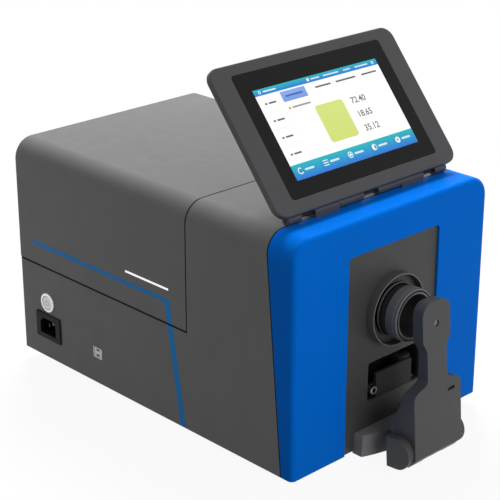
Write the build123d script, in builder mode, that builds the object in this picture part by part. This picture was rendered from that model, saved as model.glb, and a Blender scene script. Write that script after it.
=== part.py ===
from build123d import *
from math import asin, cos, degrees, hypot, radians, sin
import os

# Benchtop spectrophotometer with a tilting touch screen, a rear hood over the
# transmission compartment, and a sample holder arm in front of the measuring port.
# Millimetres, +Z up, the front face looks toward -Y.
# The origin is on the bench under the middle of the whole instrument.

# Case
body_width = 250.0
body_length = 380.0
body_height = 220.0
wall = 3.0
top_edge_radius = 20.0
front_edge_radius = 4.8
foot_height = 12.0
seam = 0.4  # open line between two case parts
fit = 0.3  # clearance round a part that sits inside another
face_gap = 0.05  # clearance between a shaft and its bore, on the radius
seam_low = 13.3  # front shell's rear edge behind the front face, at the bottom
seam_high = 33.0  # the same edge at the top
overrun = 10.0  # how far a cutter reaches past what it cuts

# Hood
hood_start = 133.4  # behind the front face
hood_bottom = 98.6  # above the case's bottom edge
hood_overhang = 0.8  # how far it stands proud at the rear
hood_rib_thickness = 2.5
hood_rib_height = 8.0
hood_rib_places = (0.36, 0.7)  # shares of the hood's length
gasket_width = 4.0
gasket_thickness = 2.0

# Hood hinges, two butt hinges on the rear face
hinge_barrel_radius = 3.5
hinge_axis_stand_off = 4.6  # axis behind the case's rear face
hinge_spacing = 150.0
hinge_leaf_width = 40.0
hinge_leaf_height = 22.0
hinge_leaf_thickness = 1.6
hinge_middle_share = 16.0  # length of the moving knuckle
hinge_leaf_root = 4.2  # where the flat leaf begins, from the pin's axis
hinge_pin_radius = 1.5
hinge_pin_head = 2.6

# Front plate and its frame
plate_width = 117.0
plate_height = 188.5
plate_thickness = 3.0
plate_recess = 2.0
plate_corner_radius = 4.0
frame_thickness = 2.0
frame_flange = 42.0
base_thickness = 2.0

# Measuring port
port_height = 126.0  # axis above the case's bottom edge
ring_radius = 36.2
ring_reach = 6.2  # in front of the front face
ring_bevel = 2.3
ring_bevel_length = 3.0
ring_side_taper = 0.8
ring_bore_radius = 31.0
ring_spigot_radius = 34.0
insert_set_back = 1.0  # the recess floor lies this far behind the front face
collar_radius = 24.6
collar_reach = 24.0
collar_bore_radius = 20.0
collar_bevel = 0.9
collar_groove_reach = 7.5  # front edge of the groove in front of the front face
collar_groove_width = 2.5
collar_groove_depth = 1.7
collar_root_groove_width = 1.8  # a second, shallow groove at the recess floor
collar_root_groove_depth = 1.1
seal_inner_radius = 21.8
seal_width = 1.3
seal_depth = 1.0
aperture_radius = 8.0
aperture_thickness = 2.0
mask_ledge = 1.5  # the mask sits in a step behind the collar's bore

# Integrating sphere behind the port
sphere_radius = 56.0
sphere_wall = 4.0
sphere_flange_radius = 61.0
sphere_flange_thickness = 3.0
sphere_port_radius = 16.0
sphere_neck_wall = 5.0
sphere_exit_radius = 10.0
lamp_radius = 15.0
lamp_offset = 24.0  # lamp axis behind the sphere's centre
lamp_hole_radius = 8.0
lamp_top_gap = 5.0  # under the roof
lamp_seat_angle = 60.0  # degrees from the sphere's top to where the lamp's skirt ends
lamp_fin_count = 3
lamp_fin_pitch = 4.0
lamp_fin_gap = 2.0
lamp_fin_depth = 3.0

# Pocket under the port, with its sprung flap
pocket_width = 61.0
pocket_low = 43.7
pocket_high = 81.3
pocket_depth = 26.0
pocket_wall = 1.5
pocket_corner_radius = 3.0
flap_width = 47.6
flap_top = 71.0
flap_bottom = 45.6
flap_top_reach = 3.2
flap_thickness = 8.0
flap_pin_radius = 1.6
flap_pin_height = 55.6
flap_pin_set_back = 1.9
flap_nose = 2.0  # the front face ends this far above the bottom edge
flap_toe = 3.0  # where the bottom edge lies behind the front face
flap_heel_height = 4.0
flap_heel_draft = 2.0
flap_edge_radius = 0.8
flap_ear_wall = 1.6
flap_ear_length = 6.0

# Sample holder arm; its own measures run from the pivot pin
arm_lean = 4.5  # degrees, toward the port
arm_pin_reach = 41.7  # in front of the front face
arm_pin_height = 11.6  # above the case's bottom edge
arm_pin_radius = 3.0
arm_front = 16.3
arm_half_width = 31.3
arm_neck_half_width = 12.8
arm_head_half_width = 18.2
arm_shoulder = 56.0
arm_neck_low = 61.5
arm_neck_high = 91.5
arm_head_low = 101.0
arm_top = 135.3
arm_head_back = -5.0
arm_neck_back = -6.4
arm_nape = 84.0
arm_waist = 58.0
arm_waist_back = -3.8
arm_hip = 20.0
arm_hip_back = 13.4
arm_shoulder_radius = 8.0
arm_neck_radius = 6.0
arm_head_corner_radius = 12.5
arm_edge_radius = 1.2
barrel_radius = 14.5
barrel_back = 11.2
barrel_half_width = 38.3
barrel_bevel_height = -5.0
barrel_chin_rise = 1.5
knuckle_radius = 9.5
knuckle_half_width = 12.0
washer_thickness = 1.0
washer_radius = 8.0
pad_height = 115.0
pad_radius = 12.0
pad_thickness = 4.0
pad_skin = 1.0  # closed face over the screw's end
pad_edge_radius = 0.8
pad_screw_radius = 1.5
pad_screw_head_radius = 2.7
pad_screw_head_height = 2.0
pad_counterbore_depth = 3.0
arm_slot_length = 10.0
arm_slot_height = 3.4
arm_slot_depth = 4.0
arm_slot_x = 18.2
arm_slot_z = 48.3

# Block on the front plate that carries the arm
block_low = -1.5
block_high = 17.5
block_half_width = 46.4
block_side_reach = 8.8
block_middle_reach = 18.5
block_draft = 2.0
block_web_low = -7.5  # the web to the knuckle, from the pin's height
block_web_high = 6.0

# Screen; its own measures run from the tilt axis
screen_tilt = 39.6  # degrees back from upright
screen_axis_depth = 34.0
screen_axis_height = 4.7  # above the roof
screen_face = 9.0  # face in front of the axis
screen_width = 229.0
screen_height = 140.6
screen_corner_radius = 12.0
screen_rim = 5.0  # thickness of the front frame
screen_depth = 16.0
screen_back_width = 176.0
screen_back_height = 92.0
screen_back_corner_radius = 14.0
screen_shell_wall = 2.2
screen_edge_radius = 1.6
glass_width = 184.4
glass_height = 117.8
glass_low = 12.2
glass_thickness = 1.1
glass_corner_radius = 3.5
glass_ledge = 3.0
display_width = 165.0
display_height = 98.0
display_thickness = 2.6
display_low = 22.0
screen_board_width = 120.0
screen_board_height = 60.0
screen_board_thickness = 1.6
screen_standoff_height = 2.5
screen_standoff_radius = 2.2
tilt_barrel_radius = 4.3
tilt_pin_radius = 1.6
tilt_inner_knuckle = (9.5, 39.7)
tilt_fixed_knuckle = (40.1, 69.5)
tilt_outer_knuckle = (86.0, 101.0)
tilt_foot_depth = 16.0
tilt_foot_thickness = 1.8

# Power button on the left side
button_depth = 339.5
button_height = 60.5
button_flange_radius = 11.0
button_flange_thickness = 1.6
button_barrel_radius = 9.5
button_barrel_length = 16.0
button_cap_radius = 7.0
button_cap_length = 9.0
button_cap_recess = 0.4
button_clearance = 0.2
button_flange_chamfer = 0.7
button_cap_fillet = 0.6
button_switch_radius = 9.0
button_switch_length = 14.0
button_tab_width = 2.8
button_tab_thickness = 0.8
button_tab_length = 5.0
button_tab_spacing = (5.0, 7.0)

# Mains inlet on the left side
inlet_depth = 339.4
inlet_height = 34.2
inlet_flange_length = 38.6
inlet_flange_height = 27.6
inlet_flange_thickness = 1.5
inlet_flange_radius = 2.0
inlet_flange_chamfer = 0.6
inlet_body_length = 30.0
inlet_body_height = 22.0
inlet_body_depth = 24.0
inlet_recess_length = 24.4
inlet_recess_height = 16.6
inlet_recess_depth = 21.0
inlet_recess_chamfer = 4.6
inlet_pin_length = 14.5
inlet_pin_width = 2.0
inlet_pin_height = 4.0
inlet_pin_spacing = 7.0
inlet_pin_offset = 2.0

# Data socket on the left side
socket_depth = 262.4
socket_height = 32.4
socket_length = 13.0
socket_tall = 11.0
socket_shell = 0.7
socket_body = 17.0
socket_stand = 0.4
socket_tongue_length = 5.6
socket_tongue_height = 3.2
socket_tongue_recess = 5.2
socket_back = 2.0

# Inside, under the hood
deck_drop = 4.0  # top of the deck under the hood's bottom edge
deck_thickness = 1.6
deck_margin = 1.2
deck_bracket = 8.0
deck_bracket_length = 24.0
deck_bracket_taper = 8.0
deck_bracket_places = (0.15, 0.85)  # shares of the deck's length
chamber_half_width = 62.0
chamber_length = 70.0
chamber_height = 74.0
chamber_wall = 2.5
chamber_corner_radius = 4.0
chamber_bore_radius = 10.0
cuvette_well = 12.6
cuvette_block = 24.0
cuvette_block_height = 52.0
cuvette_plate = 56.0
cuvette_plate_thickness = 3.0
cuvette_plate_radius = 3.0
cuvette_window_width = 8.0
cuvette_window_height = 12.0
beam_tube_radius = 14.0
beam_tube_wall = 2.5
beam_tube_length = 24.0
beam_lens_thickness = 4.0
beam_lens_crown = 1.8
bench_half_width = 66.0
bench_length = 104.0
bench_height = 60.0
bench_wall = 4.0
bench_corner_radius = 6.0
bench_cover_thickness = 2.5
bench_bore_radius = 8.0
grating_radius = 18.0
grating_thickness = 7.0
grating_hollow = 1.5
detector_length = 46.0
detector_height = 24.0
detector_thickness = 5.0
detector_window_length = 32.0
detector_window_height = 7.0
detector_window_reach = 1.7
detector_depth = 35.0  # behind the bench's front wall
main_board_width = 130.0
main_board_length = 190.0
main_board_thickness = 1.6
main_board_depth = 62.0
main_board_x = 40.0
main_board_lift = 18.0
main_board_inset = 8.0
standoff_radius = 3.5
supply_width = 62.0
supply_length = 110.0
supply_height = 38.0
supply_x = -56.0
supply_depth = 258.0
supply_slot_count = 9
supply_slot_pitch = 9.0
supply_slot_width = 3.0
supply_slot_margin = 8.0
supply_slot_depth = 3.0

# Bottom
foot_top_radius = 12.0
foot_bottom_radius = 10.5
foot_hole_radius = 4.0
foot_hole_depth = 7.0
foot_inset = 36.0
vent_length = 46.0
vent_width = 4.0
vent_pitch = 10.0
vent_count = 7
vent_depths = (110.0, 290.0)
vent_x = 50.0

# Places that follow from the sizes above
rear_reach = hinge_axis_stand_off + hinge_barrel_radius
front_reach = arm_pin_reach + arm_front
front_y = (front_reach - rear_reach - body_length) / 2
rear_y = front_y + body_length
half_width = body_width / 2
body_low = foot_height
body_top = body_low + body_height
plate_face = front_y + plate_recess
frame_face = plate_face + plate_thickness
frame_back = frame_face + frame_thickness
bulkhead_back = front_y + hood_start
bulkhead_front = bulkhead_back - wall
hood_low = body_low + hood_bottom
port_z = body_low + port_height
floor_z = body_low + base_thickness


def side(x):
    """Sketch plane with Y to the right and Z up."""
    return Plane.YZ.offset(x)


def across(y):
    """Sketch plane with X to the right and Z up; a positive extrusion goes forward."""
    return Plane.XZ.offset(-y)


def level(z):
    return Plane.XY.offset(z)


def leaning(origin, lean):
    """Sketch plane on a face that leans back; it looks forward out of the face."""
    return Plane(
        origin=origin,
        x_dir=(1, 0, 0),
        z_dir=(0, -cos(radians(lean)), sin(radians(lean))),
    )


def leaning_side(origin, lean):
    """Side view of the same face: first axis to the rear, second axis up."""
    return Plane(
        origin=origin,
        x_dir=(0, cos(radians(lean)), -sin(radians(lean))),
        z_dir=(1, 0, 0),
    )


def body_outline(inset, low=0.0):
    """Cross-section of the case, drawn inward by the inset, above a raised bottom."""
    x = half_width - inset
    top = body_top - inset
    bottom = body_low + low
    with BuildSketch() as outline:
        with BuildLine():
            FilletPolyline(
                (-x, bottom), (-x, top), (x, top), (x, bottom), radius=top_edge_radius - inset
            )
            Line((x, bottom), (-x, bottom))
        make_face()
    return outline.sketch


def seam_line(shift):
    """Two points of the slanted seam seen from the side, past the case at both ends."""
    slope = (seam_high - seam_low) / body_height
    low_y = front_y + seam_low + shift - slope * overrun
    high_y = front_y + seam_high + shift + slope * overrun
    return (low_y, body_low - overrun), (high_y, body_top + overrun)


def side_region(shift, end_y):
    """What lies between the slanted seam and a plane square to the case."""
    low, high = seam_line(shift)
    with BuildSketch() as region:
        with BuildLine():
            Polyline(low, high, (end_y, high[1]), (end_y, low[1]), close=True)
        make_face()
    return region.sketch


def ring_profile(points):
    """Closed profile from pairs of y and radius round the port axis."""
    with BuildSketch() as profile:
        with BuildLine():
            Polyline(*[(y, port_z + r) for y, r in points], close=True)
        make_face()
    return profile.sketch


port_axis = Axis((0, 0, port_z), (0, 1, 0))


def finish(block, name):
    block.part.label = name
    export_step(block.part, f"parts/{name}.step")


os.makedirs("parts", exist_ok=True)

# Main housing: tall in front, low under the hood, open at the front and the bottom
with BuildPart() as main_housing:
    with BuildSketch(across(rear_y)):
        add(body_outline(0))
    extrude(amount=body_length)
    with BuildSketch(across(rear_y - wall)):
        add(body_outline(wall, -overrun))
    extrude(amount=rear_y - wall - bulkhead_back, mode=Mode.SUBTRACT)
    with BuildSketch(across(bulkhead_front)):
        add(body_outline(wall, -overrun))
    extrude(amount=bulkhead_front - front_y + overrun, mode=Mode.SUBTRACT)
    # the bulkhead stays only above the deck
    with BuildSketch(across(bulkhead_back)):
        with Locations((0, body_low)):
            Rectangle(
                body_width - 2 * wall,
                2 * (hood_bottom - deck_drop - deck_thickness - deck_bracket),
            )
    extrude(amount=wall, mode=Mode.SUBTRACT)
    with BuildSketch(side(-half_width)):
        with BuildLine():
            Polyline(
                (bulkhead_back, hood_low),
                (bulkhead_back, body_top + overrun),
                (rear_y + overrun, body_top + overrun),
                (rear_y + overrun, hood_low - seam),
                (bulkhead_back, hood_low - seam),
                close=True,
            )
        make_face()
    extrude(amount=body_width, mode=Mode.SUBTRACT)
    with BuildSketch(side(-half_width)):
        add(side_region(seam / 2, front_y - overrun))
    extrude(amount=body_width, mode=Mode.SUBTRACT)
    # beam hole in the bulkhead
    with BuildSketch(across(bulkhead_back)):
        with Locations((0, port_z)):
            Circle(sphere_exit_radius)
    extrude(amount=wall, mode=Mode.SUBTRACT)
    # holes in the left wall
    with BuildSketch(side(-half_width)):
        with Locations((front_y + button_depth, body_low + button_height)):
            Circle(button_barrel_radius + fit)
        with Locations((front_y + inlet_depth, body_low + inlet_height)):
            Rectangle(inlet_body_length + 2 * fit, inlet_body_height + 2 * fit)
        with Locations((front_y + socket_depth, body_low + socket_height)):
            Rectangle(socket_length + 2 * fit, socket_tall + 2 * fit)
    extrude(amount=wall, mode=Mode.SUBTRACT)
finish(main_housing, "main_housing")

# Front shell: wraps the sides and the roof, with a window for the front plate
with BuildPart() as front_shell:
    with BuildSketch(across(front_y + seam_high + overrun)):
        add(body_outline(0))
    extrude(amount=seam_high + overrun)
    front_edges = front_shell.faces().sort_by(Axis.Y)[0].edges()
    fillet(front_edges.sort_by(Axis.Z)[1:], radius=front_edge_radius)
    with BuildSketch(across(front_y + seam_high + overrun)):
        add(body_outline(wall, -overrun))
    extrude(amount=front_y + seam_high + overrun - frame_face, mode=Mode.SUBTRACT)
    with BuildSketch(side(-half_width)):
        add(side_region(-seam / 2, front_y + seam_high + 2 * overrun))
    extrude(amount=body_width, mode=Mode.SUBTRACT)
    with BuildSketch(across(frame_face)):
        with BuildLine():
            window = plate_width / 2 + fit
            window_top = body_low + plate_height + fit
            FilletPolyline(
                (-window, body_low - overrun),
                (-window, window_top),
                (window, window_top),
                (window, body_low - overrun),
                radius=plate_corner_radius + fit,
            )
            Line((window, body_low - overrun), (-window, body_low - overrun))
        make_face()
    extrude(amount=frame_face - front_y, mode=Mode.SUBTRACT)
finish(front_shell, "front_shell")

# Front plate, set back in the window
with BuildPart() as front_plate:
    with BuildSketch(across(frame_face)):
        with BuildLine():
            edge = plate_width / 2
            FilletPolyline(
                (-edge, body_low),
                (-edge, body_low + plate_height),
                (edge, body_low + plate_height),
                (edge, body_low),
                radius=plate_corner_radius,
            )
            Line((edge, body_low), (-edge, body_low))
        make_face()
        with Locations((0, port_z)):
            Circle(ring_spigot_radius + fit, mode=Mode.SUBTRACT)
        with Locations((0, body_low + (pocket_low + pocket_high) / 2)):
            RectangleRounded(
                pocket_width + 2 * fit,
                pocket_high - pocket_low + 2 * fit,
                pocket_corner_radius + fit,
                mode=Mode.SUBTRACT,
            )
    extrude(amount=plate_thickness)
finish(front_plate, "front_plate")

# Front frame: a pan of sheet metal inside the shells that joins them
with BuildPart() as front_frame:
    with BuildSketch(across(frame_face + frame_flange)):
        add(body_outline(wall + fit, base_thickness))
    extrude(amount=frame_flange)
    with BuildSketch(across(frame_face + frame_flange)):
        add(body_outline(wall + fit + frame_thickness, -overrun))
    extrude(amount=frame_flange - frame_thickness, mode=Mode.SUBTRACT)
    with BuildSketch(across(frame_back)):
        with Locations((0, port_z)):
            Circle(collar_radius + fit)
        with Locations((0, body_low + (pocket_low + pocket_high) / 2)):
            RectangleRounded(
                pocket_width + 2 * fit,
                pocket_high - pocket_low + 2 * fit,
                pocket_corner_radius + fit,
            )
    extrude(amount=frame_thickness, mode=Mode.SUBTRACT)
finish(front_frame, "front_frame")

# Base plate with its cooling slots
with BuildPart() as base_plate:
    base_front = frame_face + fit
    base_rear = rear_y - wall - fit
    with BuildSketch(level(body_low)):
        with Locations((0, (base_front + base_rear) / 2)):
            Rectangle(body_width - 2 * (wall + fit), base_rear - base_front)
        for vent_depth in vent_depths:
            with Locations((vent_x, front_y + vent_depth), (-vent_x, front_y + vent_depth)):
                with GridLocations(0, vent_pitch, 1, vent_count):
                    SlotOverall(vent_length, vent_width, mode=Mode.SUBTRACT)
    extrude(amount=base_thickness)
finish(base_plate, "base_plate")

# Four rubber feet
foot_x = half_width - foot_inset
foot_places = [
    (x, y) for x in (-foot_x, foot_x) for y in (front_y + foot_inset, rear_y - foot_inset)
]
with BuildPart() as feet:
    with BuildSketch(level(0)):
        with Locations(*foot_places):
            Circle(foot_bottom_radius)
    foot_taper = degrees(asin((foot_bottom_radius - foot_top_radius) / foot_height))
    extrude(amount=foot_height, taper=foot_taper)
    with BuildSketch(level(0)):
        with Locations(*foot_places):
            Circle(foot_hole_radius)
    extrude(amount=foot_hole_depth, mode=Mode.SUBTRACT)
finish(feet, "feet")

# Port ring: a bevelled ring on the front plate, its spigot through the plate
ring_front = front_y - ring_reach
with BuildPart() as port_ring:
    with BuildSketch(side(0)):
        add(
            ring_profile(
                [
                    (ring_front, ring_bore_radius),
                    (ring_front, ring_radius - ring_bevel),
                    (ring_front + ring_bevel_length, ring_radius - ring_side_taper),
                    (plate_face, ring_radius),
                    (plate_face, ring_spigot_radius),
                    (frame_face, ring_spigot_radius),
                    (frame_face, ring_bore_radius),
                ]
            )
        )
    revolve(axis=port_axis)
finish(port_ring, "port_ring")

# Floor of the recess between the ring and the collar
with BuildPart() as port_insert:
    with BuildSketch(across(frame_face)):
        with Locations((0, port_z)):
            Circle(ring_bore_radius - fit)
            Circle(collar_radius + fit, mode=Mode.SUBTRACT)
    extrude(amount=frame_face - front_y - insert_set_back)
finish(port_insert, "port_insert")

# Measuring collar that a sample is held against
collar_front = front_y - collar_reach
groove_front = front_y - collar_groove_reach
groove_radius = collar_radius - collar_groove_depth
root_groove_rear = front_y + insert_set_back
root_groove_radius = collar_radius - collar_root_groove_depth
mask_front = frame_back - aperture_thickness
mask_radius = collar_bore_radius + mask_ledge
with BuildPart() as measuring_collar:
    with BuildSketch(side(0)):
        add(
            ring_profile(
                [
                    (collar_front, collar_bore_radius),
                    (collar_front, seal_inner_radius),
                    (collar_front + seal_depth, seal_inner_radius),
                    (collar_front + seal_depth, seal_inner_radius + seal_width),
                    (collar_front, seal_inner_radius + seal_width),
                    (collar_front, collar_radius - collar_bevel),
                    (collar_front + collar_bevel, collar_radius),
                    (groove_front, collar_radius),
                    (groove_front, groove_radius),
                    (groove_front + collar_groove_width, groove_radius),
                    (groove_front + collar_groove_width, collar_radius),
                    (root_groove_rear - collar_root_groove_width, collar_radius),
                    (root_groove_rear - collar_root_groove_width, root_groove_radius),
                    (root_groove_rear, root_groove_radius),
                    (root_groove_rear, collar_radius),
                    (frame_back, collar_radius),
                    (frame_back, mask_radius),
                    (mask_front, mask_radius),
                    (mask_front, collar_bore_radius),
                ]
            )
        )
    revolve(axis=port_axis)
finish(measuring_collar, "measuring_collar")

# Soft seal in the collar's rim
with BuildPart() as port_seal:
    with BuildSketch(side(0)):
        add(
            ring_profile(
                [
                    (collar_front - fit, seal_inner_radius + face_gap),
                    (collar_front - fit, seal_inner_radius + seal_width - face_gap),
                    (collar_front + seal_depth, seal_inner_radius + seal_width - face_gap),
                    (collar_front + seal_depth, seal_inner_radius + face_gap),
                ]
            )
        )
    revolve(axis=port_axis)
finish(port_seal, "port_seal")

# Aperture mask behind the collar's bore
with BuildPart() as aperture_mask:
    with BuildSketch(side(0)):
        add(
            ring_profile(
                [
                    (frame_back, aperture_radius),
                    (mask_front, aperture_radius + aperture_thickness),
                    (mask_front, mask_radius - face_gap),
                    (frame_back, mask_radius - face_gap),
                ]
            )
        )
    revolve(axis=port_axis)
finish(aperture_mask, "aperture_mask")

# Integrating sphere in two halves, bolted at a flange
sphere_y = frame_back + sphere_radius + sphere_wall
sphere_inside = sphere_radius - sphere_wall


def half_sphere(direction, hole, neck_end):
    """Profile of one half round the port axis, with a hole and a neck at its pole."""
    neck = hole + sphere_neck_wall
    outer_pole = sphere_y + direction * (sphere_radius**2 - neck**2) ** 0.5
    inner_pole = sphere_y + direction * (sphere_inside**2 - hole**2) ** 0.5
    lip = sphere_y + direction * sphere_flange_thickness
    shoulder = (sphere_radius**2 - sphere_flange_thickness**2) ** 0.5
    turn = radians(45)
    outer_middle = (
        sphere_y + direction * sphere_radius * sin(turn),
        port_z + sphere_radius * cos(turn),
    )
    inner_middle = (
        sphere_y + direction * sphere_inside * sin(turn),
        port_z + sphere_inside * cos(turn),
    )
    with BuildSketch() as half:
        with BuildLine():
            ThreePointArc((lip, port_z + shoulder), outer_middle, (outer_pole, port_z + neck))
            Polyline(
                (outer_pole, port_z + neck),
                (neck_end, port_z + neck),
                (neck_end, port_z + hole),
                (inner_pole, port_z + hole),
            )
            ThreePointArc(
                (inner_pole, port_z + hole), inner_middle, (sphere_y, port_z + sphere_inside)
            )
            Polyline(
                (sphere_y, port_z + sphere_inside),
                (sphere_y, port_z + sphere_flange_radius),
                (lip, port_z + sphere_flange_radius),
                (lip, port_z + shoulder),
            )
        make_face()
    return half.sketch


with BuildPart() as sphere_front_half:
    with BuildSketch(side(0)):
        add(half_sphere(-1, sphere_port_radius, frame_back))
    revolve(axis=port_axis)
finish(sphere_front_half, "sphere_front_half")

lamp_y = sphere_y + lamp_offset
with BuildPart() as sphere_rear_half:
    with BuildSketch(side(0)):
        add(half_sphere(1, sphere_exit_radius, bulkhead_front))
    revolve(axis=port_axis)
    with BuildSketch(level(port_z)):
        with Locations((0, lamp_y)):
            Circle(lamp_hole_radius)
    extrude(amount=sphere_radius, mode=Mode.SUBTRACT)
finish(sphere_rear_half, "sphere_rear_half")

# Flash lamp module on top of the sphere
with BuildPart() as lamp_module:
    lamp_top = body_top - wall - lamp_top_gap
    lamp_low = port_z + sphere_inside * cos(radians(lamp_seat_angle))
    with BuildSketch(level(lamp_low)):
        with Locations((0, lamp_y)):
            Circle(lamp_radius)
    extrude(amount=lamp_top - lamp_low)
    with Locations((0, sphere_y, port_z)):
        Sphere(sphere_radius + face_gap, mode=Mode.SUBTRACT)
    for fin in range(1, lamp_fin_count + 1):
        with BuildSketch(level(lamp_top - lamp_fin_pitch * fin)):
            with Locations((0, lamp_y)):
                Circle(lamp_radius)
                Circle(lamp_radius - lamp_fin_depth, mode=Mode.SUBTRACT)
        extrude(amount=lamp_fin_gap, mode=Mode.SUBTRACT)
finish(lamp_module, "lamp_module")

# Pocket tray under the port
pocket_middle = body_low + (pocket_low + pocket_high) / 2
pocket_height = pocket_high - pocket_low
pocket_rear = plate_face + pocket_depth
with BuildPart() as pocket_tray:
    with BuildSketch(across(pocket_rear)):
        with Locations((0, pocket_middle)):
            RectangleRounded(pocket_width, pocket_height, pocket_corner_radius)
    extrude(amount=pocket_depth)
    with BuildSketch(across(pocket_rear - pocket_wall)):
        with Locations((0, pocket_middle)):
            RectangleRounded(
                pocket_width - 2 * pocket_wall,
                pocket_height - 2 * pocket_wall,
                pocket_corner_radius - pocket_wall,
            )
    extrude(amount=pocket_depth - pocket_wall, mode=Mode.SUBTRACT)
    flap_pin_y = front_y + flap_pin_set_back
    flap_pin_z = body_low + flap_pin_height
    # ears inside the side walls carry the flap's pin
    ear_radius = flap_pin_radius + flap_ear_wall
    ear_thickness = (pocket_width - flap_width) / 2 - pocket_wall - fit
    for direction in (-1, 1):
        with BuildSketch(side(direction * (pocket_width / 2 - pocket_wall))):
            with Locations((flap_pin_y, flap_pin_z)):
                Circle(ear_radius)
            with Locations((flap_pin_y + flap_ear_length / 2, flap_pin_z)):
                Rectangle(flap_ear_length, 2 * ear_radius)
        extrude(amount=-direction * ear_thickness)
    with BuildSketch(side(-pocket_width / 2)):
        with Locations((flap_pin_y, flap_pin_z)):
            Circle(flap_pin_radius + face_gap)
    extrude(amount=pocket_width, mode=Mode.SUBTRACT)
finish(pocket_tray, "pocket_tray")

# Sprung flap in the pocket, thicker at the top, on its steel pin
with BuildPart() as pocket_flap:
    with BuildSketch(side(-flap_width / 2)):
        with BuildLine():
            flap_low = body_low + flap_bottom
            flap_high = body_low + flap_top
            FilletPolyline(
                (front_y, flap_low + flap_nose),
                (front_y - flap_top_reach, flap_high),
                (front_y - flap_top_reach + flap_thickness, flap_high),
                (front_y + flap_thickness - flap_heel_draft, flap_low + flap_heel_height),
                (front_y + flap_toe, flap_low),
                radius=flap_edge_radius,
                close=True,
            )
        make_face()
        with Locations((flap_pin_y, flap_pin_z)):
            Circle(flap_pin_radius + face_gap, mode=Mode.SUBTRACT)
    extrude(amount=flap_width)
finish(pocket_flap, "pocket_flap")

with BuildPart() as flap_pin:
    with BuildSketch(side(-pocket_width / 2)):
        with Locations((flap_pin_y, flap_pin_z)):
            Circle(flap_pin_radius)
    extrude(amount=pocket_width)
finish(flap_pin, "flap_pin")

# Block on the front plate, with the knuckle that the arm turns on
pin_y = front_y - arm_pin_reach
pin_z = body_low + arm_pin_height
pin_point = (0, pin_y, pin_z)


def block_outline(shrink):
    x = block_half_width - shrink
    sides = front_y - block_side_reach + shrink
    with BuildSketch() as outline:
        with BuildLine():
            Polyline((-x + shrink, sides), (-x, plate_face), (x, plate_face), (x - shrink, sides))
            ThreePointArc(
                (x - shrink, sides),
                (0, front_y - block_middle_reach + shrink),
                (-x + shrink, sides),
            )
        make_face()
    return outline.sketch


with BuildPart() as arm_block:
    with BuildSketch(level(body_low + block_low)):
        add(block_outline(0))
    with BuildSketch(level(body_low + block_high)):
        add(block_outline(block_draft))
    loft(ruled=True)
    with BuildSketch(side(-knuckle_half_width)):
        with Locations((pin_y, pin_z)):
            Circle(knuckle_radius)
        with BuildLine():
            web_rear = front_y - block_side_reach
            Polyline(
                (pin_y, pin_z + block_web_low),
                (web_rear, pin_z + block_web_low),
                (web_rear, pin_z + block_web_high),
                (pin_y, pin_z + block_web_high),
                close=True,
            )
        make_face()
    extrude(amount=2 * knuckle_half_width)
    with BuildSketch(side(-knuckle_half_width)):
        with Locations((pin_y, pin_z)):
            Circle(arm_pin_radius + face_gap)
    extrude(amount=2 * knuckle_half_width, mode=Mode.SUBTRACT)
finish(arm_block, "arm_block")

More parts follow.
